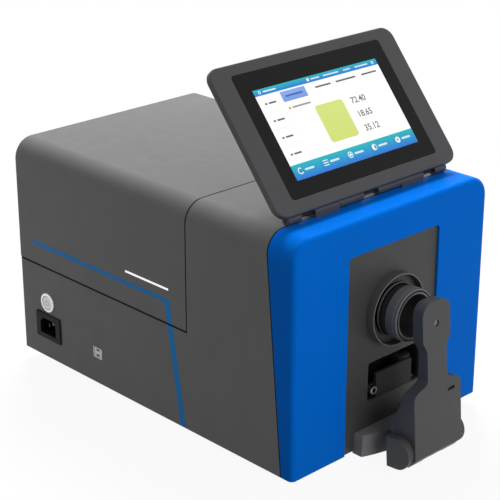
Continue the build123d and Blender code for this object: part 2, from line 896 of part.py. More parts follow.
# Sample holder arm: front outline cut by the side profile, with a wide barrel below
arm_face = leaning(pin_point, arm_lean)
arm_side = leaning_side(pin_point, arm_lean)
arm_depth = arm_front + barrel_back
slot_half_width = knuckle_half_width + washer_thickness + fit
slot_radius = knuckle_radius + fit
with BuildPart() as holder_arm:
    with BuildSketch(arm_face.offset(arm_front)):
        with BuildLine():
            FilletPolyline(
                (-arm_half_width, -barrel_radius),
                (-arm_half_width, arm_shoulder),
                (-arm_neck_half_width, arm_neck_low),
                (-arm_neck_half_width, arm_neck_high),
                (-arm_head_half_width, arm_head_low),
                (-arm_head_half_width, arm_top),
                (arm_head_half_width, arm_top),
                (arm_head_half_width, arm_head_low),
                (arm_neck_half_width, arm_neck_high),
                (arm_neck_half_width, arm_neck_low),
                (arm_half_width, arm_shoulder),
                (arm_half_width, -barrel_radius),
                radius=[
                    arm_shoulder_radius,
                    arm_neck_radius,
                    arm_neck_radius,
                    arm_neck_radius,
                    arm_head_corner_radius,
                    arm_head_corner_radius,
                    arm_neck_radius,
                    arm_neck_radius,
                    arm_neck_radius,
                    arm_shoulder_radius,
                ],
            )
            Line((arm_half_width, -barrel_radius), (-arm_half_width, -barrel_radius))
        make_face()
    extrude(amount=-arm_depth)
    with BuildSketch(arm_side.offset(-barrel_half_width)):
        with BuildLine():
            Polyline(
                (0, -barrel_radius),
                (-arm_front / 2, -barrel_radius + barrel_chin_rise),
                (-arm_front, barrel_bevel_height),
                (-arm_front, arm_top + overrun),
                (arm_head_back, arm_top + overrun),
                (arm_head_back, arm_head_low),
                (arm_neck_back, arm_nape),
                (arm_waist_back, arm_waist),
            )
            Spline(
                (arm_waist_back, arm_waist),
                (-0.8, 46.8),
                (2.9, 39.1),
                (10.2, 29.0),
                (arm_hip_back, arm_hip),
                tangents=[(0.1, -1), (0, -1)],
            )
            Polyline(
                (arm_hip_back, arm_hip),
                (arm_hip_back, barrel_radius),
                (barrel_back, barrel_radius - arm_hip_back + barrel_back),
                (barrel_back, -barrel_radius),
                (0, -barrel_radius),
            )
        make_face()
    extrude(amount=2 * barrel_half_width, mode=Mode.INTERSECT)
    with BuildSketch(arm_side.offset(-barrel_half_width)):
        with BuildLine():
            CenterArc((0, 0), barrel_radius, 90, 180)
            Polyline(
                (0, -barrel_radius),
                (barrel_back, -barrel_radius),
                (barrel_back, barrel_radius),
                (0, barrel_radius),
            )
        make_face()
    extrude(amount=2 * barrel_half_width)
    # room for the knuckle and its web as the arm swings down
    with BuildSketch(arm_side.offset(-slot_half_width)):
        with BuildLine():
            Polyline(
                (-slot_radius, slot_radius),
                (2 * barrel_back, slot_radius),
                (2 * barrel_back, -2 * barrel_radius),
                (-slot_radius, -2 * barrel_radius),
                close=True,
            )
        make_face()
    extrude(amount=2 * slot_half_width, mode=Mode.SUBTRACT)
    # pin bore, blind on the left
    with BuildSketch(arm_side.offset(-barrel_half_width + wall)):
        Circle(arm_pin_radius + face_gap)
    extrude(amount=2 * barrel_half_width, mode=Mode.SUBTRACT)
    # pad screw hole with its counterbore, and the small slot on the right shoulder
    with BuildSketch(arm_face.offset(arm_front)):
        with Locations((0, pad_height)):
            Circle(pad_screw_radius + face_gap)
    extrude(amount=-arm_depth, mode=Mode.SUBTRACT)
    with BuildSketch(arm_face.offset(arm_front)):
        with Locations((0, pad_height)):
            Circle(pad_screw_head_radius + fit)
    extrude(amount=-pad_counterbore_depth, mode=Mode.SUBTRACT)
    with BuildSketch(arm_face.offset(arm_front)):
        with Locations((arm_slot_x, arm_slot_z)):
            SlotOverall(arm_slot_length, arm_slot_height)
    extrude(amount=-arm_slot_depth, mode=Mode.SUBTRACT)
finish(holder_arm, "holder_arm")

with BuildPart() as arm_pin:
    with BuildSketch(side(-barrel_half_width + wall + fit)):
        with Locations((pin_y, pin_z)):
            Circle(arm_pin_radius)
    extrude(amount=2 * barrel_half_width - wall - 2 * fit)
finish(arm_pin, "arm_pin")

# Friction washers between the knuckle and the arm's cheeks
with BuildPart() as friction_washers:
    for direction in (-1, 1):
        with BuildSketch(side(direction * (knuckle_half_width + fit / 2))):
            with Locations((pin_y, pin_z)):
                Circle(washer_radius)
                Circle(arm_pin_radius + face_gap, mode=Mode.SUBTRACT)
        extrude(amount=direction * washer_thickness)
finish(friction_washers, "friction_washers")

# Pad on the back of the arm's head, and its screw from the front
with BuildPart() as holder_pad:
    with BuildSketch(arm_face.offset(-arm_head_back)):
        with Locations((0, pad_height)):
            Circle(pad_radius)
            Circle(pad_screw_radius + face_gap, mode=Mode.SUBTRACT)
    extrude(amount=pad_skin - pad_thickness)
    with BuildSketch(arm_face.offset(pad_skin - arm_head_back - pad_thickness)):
        with Locations((0, pad_height)):
            Circle(pad_radius)
    extrude(amount=-pad_skin)
    pad_rim = holder_pad.edges().filter_by(GeomType.CIRCLE).sort_by(Axis.Y)[-1]
    fillet(pad_rim, radius=pad_edge_radius)
finish(holder_pad, "holder_pad")

with BuildPart() as pad_screw:
    screw_seat = arm_front - pad_counterbore_depth
    with BuildSketch(arm_face.offset(screw_seat)):
        with Locations((0, pad_height)):
            Circle(pad_screw_head_radius)
    extrude(amount=pad_screw_head_height)
    with BuildSketch(arm_face.offset(screw_seat)):
        with Locations((0, pad_height)):
            Circle(pad_screw_radius)
    extrude(amount=-(screw_seat + arm_head_back + pad_thickness - pad_skin - fit))
finish(pad_screw, "pad_screw")

# Hood over the rear, open at the front and the bottom, with ribs under its roof
hood_front = bulkhead_back + seam
hood_rear = rear_y + hood_overhang
with BuildPart() as hood:
    with BuildSketch(across(hood_rear)):
        add(body_outline(0, hood_bottom))
    extrude(amount=hood_rear - hood_front)
    with BuildSketch(across(hood_rear - wall)):
        add(body_outline(wall, hood_bottom - overrun))
    extrude(amount=hood_rear - hood_front, mode=Mode.SUBTRACT)
    for share in hood_rib_places:
        with BuildSketch(across(hood_front + share * (hood_rear - hood_front))):
            add(body_outline(wall, hood_bottom))
            add(body_outline(wall + hood_rib_height, hood_bottom - overrun), mode=Mode.SUBTRACT)
        extrude(amount=hood_rib_thickness)
finish(hood, "hood")

# Light-tight gasket along the hood's front edge, under the roof and down the sides
with BuildPart() as hood_gasket:
    with BuildSketch(across(hood_front + fit + gasket_width)):
        add(body_outline(wall, hood_bottom))
        add(body_outline(wall + gasket_thickness, hood_bottom - overrun), mode=Mode.SUBTRACT)
    extrude(amount=gasket_width)
finish(hood_gasket, "hood_gasket")

# Two butt hinges behind the hood
hinge_y = rear_y + hinge_axis_stand_off
hinge_z = hood_low - seam / 2
hinge_places = (-hinge_spacing / 2, hinge_spacing / 2)


def hinge_profile(direction, face):
    """One leaf seen from the side with its knuckle, up or down the rear face."""
    near = hinge_z + direction * hinge_leaf_root
    far = hinge_z + direction * hinge_leaf_height
    back = face + hinge_leaf_thickness
    edge = hinge_pin_radius + face_gap
    with BuildSketch() as profile:
        with BuildLine():
            Polyline((face, near), (face, far), (back, far), (back, near), close=True)
        make_face()
    with BuildSketch() as knuckle:
        with Locations((hinge_y, hinge_z)):
            Circle(hinge_barrel_radius)
        with BuildLine():
            Polyline(
                (face + fit, near + direction),
                (back, near + direction),
                (hinge_y + edge, hinge_z + direction * edge),
                (hinge_y - edge, hinge_z + direction * edge),
                close=True,
            )
        make_face()
        with Locations((hinge_y, hinge_z)):
            Circle(hinge_pin_radius + face_gap, mode=Mode.SUBTRACT)
    return profile.sketch, knuckle.sketch


side_share = (hinge_leaf_width - hinge_middle_share) / 2 - fit
fixed_leaf, fixed_knuckle = hinge_profile(-1, rear_y)
with BuildPart() as hinge_fixed_leaves:
    for middle in hinge_places:
        start = middle - hinge_leaf_width / 2
        with BuildSketch(side(start)):
            add(fixed_leaf)
        extrude(amount=hinge_leaf_width)
        for x in (start, middle + hinge_leaf_width / 2 - side_share):
            with BuildSketch(side(x)):
                add(fixed_knuckle)
            extrude(amount=side_share)
finish(hinge_fixed_leaves, "hinge_fixed_leaves")

moving_leaf, moving_knuckle = hinge_profile(1, hood_rear)
with BuildPart() as hinge_moving_leaves:
    for middle in hinge_places:
        with BuildSketch(side(middle - hinge_leaf_width / 2)):
            add(moving_leaf)
        extrude(amount=hinge_leaf_width)
        with BuildSketch(side(middle - hinge_middle_share / 2)):
            add(moving_knuckle)
        extrude(amount=hinge_middle_share)
finish(hinge_moving_leaves, "hinge_moving_leaves")

with BuildPart() as hinge_pins:
    for middle in hinge_places:
        with BuildSketch(side(middle - hinge_leaf_width / 2)):
            with Locations((hinge_y, hinge_z)):
                Circle(hinge_pin_radius)
        extrude(amount=hinge_leaf_width)
        with BuildSketch(side(middle + hinge_leaf_width / 2)):
            with Locations((hinge_y, hinge_z)):
                Circle(hinge_pin_head)
        extrude(amount=hinge_pin_radius)
finish(hinge_pins, "hinge_pins")

# Screen, drawn on its leaning face and measured from the tilt axis
axis_y = front_y + screen_axis_depth
axis_z = body_top + screen_axis_height
axis_point = (0, axis_y, axis_z)
screen_plane = leaning(axis_point, screen_tilt)
screen_side = leaning_side(axis_point, screen_tilt)
rim_back = screen_face - screen_rim
shell_back = screen_face - screen_depth
screen_middle = screen_height / 2
glass_middle = glass_low + glass_height / 2
glass_seat = screen_face - glass_thickness - face_gap
with BuildPart() as screen_frame:
    with BuildSketch(screen_plane.offset(rim_back)):
        with Locations((0, screen_middle)):
            RectangleRounded(screen_width, screen_height, screen_corner_radius)
    extrude(amount=screen_rim)
    fillet(
        screen_frame.faces().sort_by(Axis(axis_point, screen_plane.z_dir))[-1].edges(),
        radius=screen_edge_radius,
    )
    with BuildSketch(screen_plane.offset(glass_seat)):
        with Locations((0, glass_middle)):
            RectangleRounded(
                glass_width + fit, glass_height + fit, glass_corner_radius + fit / 2
            )
    extrude(amount=screen_rim, mode=Mode.SUBTRACT)
    with BuildSketch(screen_plane.offset(rim_back)):
        with Locations((0, glass_middle)):
            Rectangle(glass_width - 2 * glass_ledge, glass_height - 2 * glass_ledge)
    extrude(amount=screen_rim, mode=Mode.SUBTRACT)
    with BuildSketch(side(-half_width)):
        with Locations((axis_y, axis_z)):
            Circle(tilt_barrel_radius + fit)
    extrude(amount=body_width, mode=Mode.SUBTRACT)
finish(screen_frame, "screen_frame")

with BuildPart() as touch_glass:
    with BuildSketch(screen_plane.offset(glass_seat)):
        with Locations((0, glass_middle)):
            RectangleRounded(glass_width, glass_height, glass_corner_radius)
    extrude(amount=glass_thickness)
finish(touch_glass, "touch_glass")

display_front = glass_seat - face_gap
with BuildPart() as display_panel:
    with BuildSketch(screen_plane.offset(display_front)):
        with Locations((0, display_low + display_height / 2)):
            Rectangle(display_width, display_height)
    extrude(amount=-display_thickness)
finish(display_panel, "display_panel")

# Rear shell of the screen: tapers back from the frame and carries the moving knuckles
cavity_width = screen_back_width - 2 * screen_shell_wall
cavity_height = screen_back_height - 2 * screen_shell_wall
moving_knuckles = [tilt_inner_knuckle, tilt_outer_knuckle]
with BuildPart() as screen_rear_shell:
    with BuildSketch(screen_plane.offset(rim_back)):
        with Locations((0, screen_middle)):
            RectangleRounded(screen_width, screen_height, screen_corner_radius)
    with BuildSketch(screen_plane.offset(shell_back)):
        with Locations((0, screen_middle)):
            RectangleRounded(screen_back_width, screen_back_height, screen_back_corner_radius)
    loft(ruled=True)
    with BuildSketch(screen_plane.offset(rim_back)):
        with Locations((0, screen_middle)):
            RectangleRounded(cavity_width, cavity_height, screen_corner_radius)
    extrude(amount=-(screen_depth - screen_rim - screen_shell_wall), mode=Mode.SUBTRACT)
    # channel for the hinge barrels
    with BuildSketch(side(-half_width)):
        with Locations((axis_y, axis_z)):
            Circle(tilt_barrel_radius + fit)
    extrude(amount=body_width, mode=Mode.SUBTRACT)
    for direction in (-1, 1):
        for near, far in moving_knuckles:
            with BuildSketch(screen_side.offset(direction * near)):
                Circle(tilt_barrel_radius)
                with BuildLine():
                    Polyline(
                        (-rim_back, 0),
                        (-rim_back, 2 * tilt_barrel_radius),
                        (0, 3 * tilt_barrel_radius),
                        (0, 0),
                        close=True,
                    )
                make_face()
                Circle(tilt_pin_radius + face_gap, mode=Mode.SUBTRACT)
            extrude(amount=direction * (far - near))
finish(screen_rear_shell, "screen_rear_shell")

# Fixed knuckles of the screen on the roof, each on its foot
with BuildPart() as screen_hinge_base:
    near, far = tilt_fixed_knuckle
    for direction in (-1, 1):
        with BuildSketch(side(direction * near)):
            with Locations((axis_y, axis_z)):
                Circle(tilt_barrel_radius)
            with BuildLine():
                Polyline(
                    (axis_y - tilt_barrel_radius, body_top),
                    (axis_y - tilt_barrel_radius, axis_z),
                    (axis_y + tilt_barrel_radius, axis_z),
                    (axis_y + tilt_foot_depth - tilt_barrel_radius, body_top + tilt_foot_thickness),
                    (axis_y + tilt_foot_depth - tilt_barrel_radius, body_top),
                    close=True,
                )
            make_face()
            with Locations((axis_y, axis_z)):
                Circle(tilt_pin_radius + face_gap, mode=Mode.SUBTRACT)
        extrude(amount=direction * (far - near))
finish(screen_hinge_base, "screen_hinge_base")

with BuildPart() as screen_hinge_pin:
    pin_half = tilt_outer_knuckle[1] - fit
    with BuildSketch(side(-pin_half)):
        with Locations((axis_y, axis_z)):
            Circle(tilt_pin_radius)
    extrude(amount=2 * pin_half)
finish(screen_hinge_pin, "screen_hinge_pin")

board_back = shell_back + screen_shell_wall + screen_standoff_height
with BuildPart() as screen_board:
    with BuildSketch(screen_plane.offset(board_back)):
        with Locations((0, screen_middle)):
            Rectangle(screen_board_width, screen_board_height)
    extrude(amount=screen_board_thickness)
finish(screen_board, "screen_board")

with BuildPart() as screen_standoffs:
    with BuildSketch(screen_plane.offset(shell_back + screen_shell_wall)):
        with Locations((0, screen_middle)):
            with GridLocations(
                screen_board_width - 4 * screen_standoff_radius,
                screen_board_height - 4 * screen_standoff_radius,
                2,
                2,
            ):
                Circle(screen_standoff_radius)
    extrude(amount=screen_standoff_height)
finish(screen_standoffs, "screen_standoffs")

# Power button
left_wall = -half_width
button_place = (front_y + button_depth, body_low + button_height)
with BuildPart() as button_bezel:
    with BuildSketch(side(left_wall)):
        with Locations(button_place):
            Circle(button_flange_radius)
    extrude(amount=-button_flange_thickness)
    chamfer(button_bezel.faces().sort_by(Axis.X)[0].edges(), length=button_flange_chamfer)
    with BuildSketch(side(left_wall)):
        with Locations(button_place):
            Circle(button_barrel_radius)
    extrude(amount=button_barrel_length)
    with BuildSketch(side(left_wall - overrun)):
        with Locations(button_place):
            Circle(button_cap_radius + button_clearance)
    extrude(amount=overrun + button_barrel_length, mode=Mode.SUBTRACT)
finish(button_bezel, "button_bezel")

with BuildPart() as button_cap:
    with BuildSketch(side(left_wall - button_flange_thickness + button_cap_recess)):
        with Locations(button_place):
            Circle(button_cap_radius)
    extrude(amount=button_cap_length)
    fillet(button_cap.faces().sort_by(Axis.X)[0].edges(), radius=button_cap_fillet)
finish(button_cap, "button_cap")

with BuildPart() as button_switch:
    with BuildSketch(side(left_wall + button_barrel_length)):
        with Locations(button_place):
            Circle(button_switch_radius)
    extrude(amount=button_switch_length)
    with BuildSketch(side(left_wall + button_barrel_length + button_switch_length)):
        with Locations(button_place):
            with GridLocations(*button_tab_spacing, 2, 2):
                Rectangle(button_tab_thickness, button_tab_width)
    extrude(amount=button_tab_length)
finish(button_switch, "button_switch")

# Mains inlet: flange, body and recess, with three blades
inlet_y = front_y + inlet_depth
inlet_z = body_low + inlet_height
with BuildPart() as mains_inlet:
    with BuildSketch(side(left_wall)):
        with Locations((inlet_y, inlet_z)):
            RectangleRounded(inlet_flange_length, inlet_flange_height, inlet_flange_radius)
    extrude(amount=-inlet_flange_thickness)
    chamfer(mains_inlet.faces().sort_by(Axis.X)[0].edges(), length=inlet_flange_chamfer)
    with BuildSketch(side(left_wall)):
        with Locations((inlet_y, inlet_z)):
            Rectangle(inlet_body_length, inlet_body_height)
    extrude(amount=inlet_body_depth)
    with BuildSketch(side(left_wall - inlet_flange_thickness)) as inlet_recess:
        with Locations((inlet_y, inlet_z)):
            Rectangle(inlet_recess_length, inlet_recess_height)
        chamfer(inlet_recess.vertices().group_by(Axis.Y)[-1], length=inlet_recess_chamfer)
    extrude(amount=inlet_recess_depth, mode=Mode.SUBTRACT)
finish(mains_inlet, "mains_inlet")

with BuildPart() as inlet_pins:
    pin_root = left_wall - inlet_flange_thickness + inlet_recess_depth
    with BuildSketch(side(pin_root)):
        with Locations(
            (inlet_y - inlet_pin_spacing, inlet_z - inlet_pin_offset),
            (inlet_y, inlet_z + inlet_pin_offset),
            (inlet_y + inlet_pin_spacing, inlet_z - inlet_pin_offset),
        ):
            Rectangle(inlet_pin_width, inlet_pin_height)
    extrude(amount=-inlet_pin_length)
finish(inlet_pins, "inlet_pins")

# Data socket: metal shell with a plastic tongue
socket_y = front_y + socket_depth
socket_z = body_low + socket_height
with BuildPart() as data_socket:
    with BuildSketch(side(left_wall - socket_stand)):
        with Locations((socket_y, socket_z)):
            Rectangle(socket_length, socket_tall)
    extrude(amount=socket_body)
    with BuildSketch(side(left_wall - socket_stand)):
        with Locations((socket_y, socket_z)):
            Rectangle(socket_length - 2 * socket_shell, socket_tall - 2 * socket_shell)
    extrude(amount=socket_body - socket_back, mode=Mode.SUBTRACT)
finish(data_socket, "data_socket")

with BuildPart() as socket_tongue:
    with BuildSketch(side(left_wall - socket_stand + socket_body - socket_back)):
        with Locations((socket_y, socket_z)):
            Rectangle(socket_tongue_length, socket_tongue_height)
    extrude(amount=-(socket_body - socket_back - socket_tongue_recess))
finish(socket_tongue, "socket_tongue")

# Deck under the hood
deck_top = hood_low - deck_drop
deck_low = deck_top - deck_thickness
with BuildPart() as deck_plate:
    deck_front = bulkhead_back + fit
    deck_rear = rear_y - wall - fit
    with BuildSketch(level(deck_low)):
        with Locations((0, (deck_front + deck_rear) / 2)):
            Rectangle(body_width - 2 * (wall + fit), deck_rear - deck_front)
    extrude(amount=deck_thickness)
finish(deck_plate, "deck_plate")

with BuildPart() as deck_brackets:
    for direction in (-1, 1):
        inner = direction * (half_width - wall)
        with BuildSketch(side(inner)):
            for share in deck_bracket_places:
                bracket_y = deck_front + share * (deck_rear - deck_front)
                with Locations((bracket_y, deck_low - deck_bracket / 2)):
                    Rectangle(deck_bracket_length, deck_bracket)
        extrude(amount=-direction * deck_bracket, taper=deck_bracket_taper)
finish(deck_brackets, "deck_brackets")

# Transmission sample chamber on the deck, open at the top
chamber_front = bulkhead_back + fit
chamber_middle = chamber_front + chamber_length / 2
with BuildPart() as sample_chamber:
    with BuildSketch(level(deck_top)):
        with Locations((0, chamber_middle)):
            RectangleRounded(2 * chamber_half_width, chamber_length, chamber_corner_radius)
    extrude(amount=chamber_height)
    with BuildSketch(level(deck_top + chamber_wall)):
        with Locations((0, chamber_middle)):
            Rectangle(2 * (chamber_half_width - chamber_wall), chamber_length - 2 * chamber_wall)
    extrude(amount=chamber_height, mode=Mode.SUBTRACT)
    with BuildSketch(across(chamber_front + chamber_length)):
        with Locations((0, port_z)):
            Circle(chamber_bore_radius)
    extrude(amount=chamber_length, mode=Mode.SUBTRACT)
finish(sample_chamber, "sample_chamber")

# Cuvette holder in the chamber
holder_floor = deck_top + chamber_wall
with BuildPart() as cuvette_holder:
    with BuildSketch(level(holder_floor)):
        with Locations((0, chamber_middle)):
            RectangleRounded(cuvette_plate, cuvette_plate, cuvette_plate_radius)
    extrude(amount=cuvette_plate_thickness)
    with BuildSketch(level(holder_floor)):
        with Locations((0, chamber_middle)):
            Rectangle(cuvette_block, cuvette_block)
    extrude(amount=cuvette_block_height)
    with BuildSketch(level(holder_floor + cuvette_plate_thickness)):
        with Locations((0, chamber_middle)):
            Rectangle(cuvette_well, cuvette_well)
    extrude(amount=cuvette_block_height, mode=Mode.SUBTRACT)
    with BuildSketch(across(chamber_middle + cuvette_block)):
        with Locations((0, port_z)):
            Rectangle(cuvette_window_width, cuvette_window_height)
    extrude(amount=2 * cuvette_block, mode=Mode.SUBTRACT)
finish(cuvette_holder, "cuvette_holder")

# Beam tube and its lens between the chamber and the optical bench
tube_front = chamber_front + chamber_length
tube_rear = tube_front + beam_tube_length
with BuildPart() as beam_tube:
    with BuildSketch(across(tube_rear)):
        with Locations((0, port_z)):
            Circle(beam_tube_radius)
            Circle(beam_tube_radius - beam_tube_wall, mode=Mode.SUBTRACT)
    extrude(amount=beam_tube_length)
finish(beam_tube, "beam_tube")

lens_radius = beam_tube_radius - beam_tube_wall - face_gap
lens_y = tube_front + beam_tube_length / 2
lens_ball = (lens_radius**2 + beam_lens_crown**2) / (2 * beam_lens_crown)
with BuildPart() as beam_lens:
    with BuildSketch(across(lens_y + beam_lens_thickness)):
        with Locations((0, port_z)):
            Circle(lens_radius)
    extrude(amount=beam_lens_thickness)
    with Locations((0, lens_y + beam_lens_thickness - lens_ball, port_z)):
        Sphere(lens_ball, mode=Mode.INTERSECT)
finish(beam_lens, "beam_lens")

# Optical bench: a cast box with a cover, a concave grating and a detector
bench_front = tube_rear
bench_middle = bench_front + bench_length / 2
bench_low = deck_top
with BuildPart() as optical_bench:
    with BuildSketch(level(bench_low)):
        with Locations((0, bench_middle)):
            RectangleRounded(2 * bench_half_width, bench_length, bench_corner_radius)
    extrude(amount=bench_height)
    with BuildSketch(level(bench_low + bench_wall)):
        with Locations((0, bench_middle)):
            RectangleRounded(
                2 * (bench_half_width - bench_wall),
                bench_length - 2 * bench_wall,
                bench_corner_radius - bench_wall,
            )
    extrude(amount=bench_height, mode=Mode.SUBTRACT)
    with BuildSketch(across(bench_front + bench_wall)):
        with Locations((0, port_z)):
            Circle(bench_bore_radius)
    extrude(amount=bench_wall, mode=Mode.SUBTRACT)
finish(optical_bench, "optical_bench")

with BuildPart() as bench_cover:
    with BuildSketch(level(bench_low + bench_height)):
        with Locations((0, bench_middle)):
            RectangleRounded(2 * bench_half_width, bench_length, bench_corner_radius)
    extrude(amount=bench_cover_thickness)
finish(bench_cover, "bench_cover")

grating_back = bench_front + bench_length - bench_wall
with BuildPart() as grating:
    with BuildSketch(across(grating_back)):
        with Locations((0, port_z)):
            Circle(grating_radius)
    extrude(amount=grating_thickness)
    grating_ball = (grating_radius**2 + grating_hollow**2) / (2 * grating_hollow)
    with Locations((0, grating_back - grating_thickness + grating_hollow - grating_ball, port_z)):
        Sphere(grating_ball, mode=Mode.SUBTRACT)
finish(grating, "grating")

with BuildPart() as detector:
    with BuildSketch(side(bench_half_width - bench_wall)):
        with Locations((bench_front + detector_depth, port_z)):
            Rectangle(detector_length, detector_height)
    extrude(amount=-detector_thickness)
    with BuildSketch(side(bench_half_width - bench_wall - detector_thickness)):
        with Locations((bench_front + detector_depth, port_z)):
            Rectangle(detector_window_length, detector_window_height)
    extrude(amount=-detector_window_reach)
finish(detector, "detector")

# Main board on its standoffs, and the power supply
board_low = floor_z + main_board_lift
board_middle = (main_board_x, front_y + main_board_depth + main_board_length / 2)
with BuildPart() as main_board:
    with BuildSketch(level(board_low)):
        with Locations(board_middle):
            Rectangle(main_board_width, main_board_length)
    extrude(amount=main_board_thickness)
finish(main_board, "main_board")

with BuildPart() as board_standoffs:
    with BuildSketch(level(floor_z)):
        with Locations(board_middle):
            with GridLocations(
                main_board_width - 2 * main_board_inset,
                main_board_length - 2 * main_board_inset,
                2,
                2,
            ):
                RegularPolygon(standoff_radius, 6)
    extrude(amount=main_board_lift)
finish(board_standoffs, "board_standoffs")

with BuildPart() as power_supply:
    supply_middle = (supply_x, front_y + supply_depth + supply_length / 2)
    with BuildSketch(level(floor_z)):
        with Locations(supply_middle):
            Rectangle(supply_width, supply_length)
    extrude(amount=supply_height)
    with BuildSketch(level(floor_z + supply_height)):
        with Locations(supply_middle):
            with GridLocations(0, supply_slot_pitch, 1, supply_slot_count):
                SlotOverall(supply_width - 2 * supply_slot_margin, supply_slot_width)
    extrude(amount=-supply_slot_depth, mode=Mode.SUBTRACT)
finish(power_supply, "power_supply")
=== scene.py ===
from math import cos, pi, radians, sin

import bmesh
import bpy
from mathutils import Matrix, Vector
from mathutils.geometry import tessellate_polygon


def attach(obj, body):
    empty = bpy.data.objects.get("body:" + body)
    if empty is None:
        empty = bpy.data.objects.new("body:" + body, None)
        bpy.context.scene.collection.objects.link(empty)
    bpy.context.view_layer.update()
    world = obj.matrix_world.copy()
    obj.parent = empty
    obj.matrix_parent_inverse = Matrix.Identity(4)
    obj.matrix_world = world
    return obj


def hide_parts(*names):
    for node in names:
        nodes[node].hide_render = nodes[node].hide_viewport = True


# A benchtop spectrophotometer, dressed on its CAD frame. Metres, +Z up, front toward -Y.
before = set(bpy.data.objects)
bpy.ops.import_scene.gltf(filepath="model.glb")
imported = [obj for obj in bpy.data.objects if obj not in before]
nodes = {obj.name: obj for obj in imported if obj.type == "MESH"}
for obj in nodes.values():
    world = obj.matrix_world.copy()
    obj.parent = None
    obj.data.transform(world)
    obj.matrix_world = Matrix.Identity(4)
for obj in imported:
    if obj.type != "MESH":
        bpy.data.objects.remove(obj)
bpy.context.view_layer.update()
MM = 0.001

# Places that the CAD model gives, in millimetres
FRONT = -165.05  # the case's front face
LEFT = -125.0  # the case's left side
REAR = 214.95  # the case's back
CASE_LOW = 12.0  # the case's bottom, above the feet
CASE_TOP = 232.0
ROOF_RADIUS = 20.0
SEAM = 110.6  # hood's bottom edge
SCREEN_LEAN = 39.6  # degrees back from upright
SCREEN_AXIS = Vector((0.0, FRONT + 34.0, 236.7))
GLASS_TOP = 8.95  # the glass's front, out from the screen's axis plane
PROUD = 0.05  # how far a printed layer stands off what it is on


def linear(code):
    """Linear colour of an sRGB hex code."""
    values = [int(code[i : i + 2], 16) / 255 for i in (1, 3, 5)]
    return tuple(v / 12.92 if v <= 0.04045 else ((v + 0.055) / 1.055) ** 2.4 for v in values)


# Materials. Noise scales are features per metre.
BLOTCHES = 14.0
GLOSS_PATCHES = 60.0
RUB_AND_HIGHLIGHT_PATCHES = 160.0
EDGE_RUB_AND_HIGHLIGHT_REACH = 0.45  # how far the edge wear and painted highlight reach from an edge
RELIEF = 0.06
BEVEL_SAMPLES = 6


def new_material(name):
    material = bpy.data.materials.new(name)
    material.use_nodes = True
    tree = material.node_tree
    shader = tree.nodes["Principled BSDF"]
    return material, tree, shader


def noise(tree, scale, detail=3.0, stretch=None):
    """Noise over the object's own coordinates."""
    coordinates = tree.nodes.new("ShaderNodeTexCoord")
    source = coordinates.outputs["Object"]
    if stretch is not None:
        mapping = tree.nodes.new("ShaderNodeMapping")
        mapping.inputs["Scale"].default_value = stretch
        tree.links.new(source, mapping.inputs["Vector"])
        source = mapping.outputs["Vector"]
    texture = tree.nodes.new("ShaderNodeTexNoise")
    texture.inputs["Scale"].default_value = scale
    texture.inputs["Detail"].default_value = detail
    tree.links.new(source, texture.inputs["Vector"])
    return texture.outputs["Fac"]


def span(tree, value, low, high, from_low=0.3, from_high=0.7):
    """Maps a noise value onto a range."""
    node = tree.nodes.new("ShaderNodeMapRange")
    node.inputs["From Min"].default_value = from_low
    node.inputs["From Max"].default_value = from_high
    node.inputs["To Min"].default_value = low
    node.inputs["To Max"].default_value = high
    tree.links.new(value, node.inputs["Value"])
    return node.outputs["Result"]


def blended(tree, factor, first, second):
    """Mixes two colours; each is a tuple or an output."""
    node = tree.nodes.new("ShaderNodeMix")
    node.data_type = "RGBA"
    tree.links.new(factor, node.inputs["Factor"])
    for value, socket in ((first, node.inputs["A"]), (second, node.inputs["B"])):
        if isinstance(value, tuple):
            socket.default_value = (*value, 1.0)
        else:
            tree.links.new(value, socket)
    return node.outputs["Result"]


def edge_mask(tree, radius):
    """Close to 1 along sharp edges and 0 on faces."""
    rounded = tree.nodes.new("ShaderNodeBevel")
    rounded.samples = BEVEL_SAMPLES
    rounded.inputs["Radius"].default_value = radius
    geometry = tree.nodes.new("ShaderNodeNewGeometry")
    product = tree.nodes.new("ShaderNodeVectorMath")
    product.operation = "DOT_PRODUCT"
    tree.links.new(rounded.outputs["Normal"], product.inputs[0])
    tree.links.new(geometry.outputs["Normal"], product.inputs[1])
    return span(tree, product.outputs["Value"], 1.0, 0.0, 0.82, 0.99)


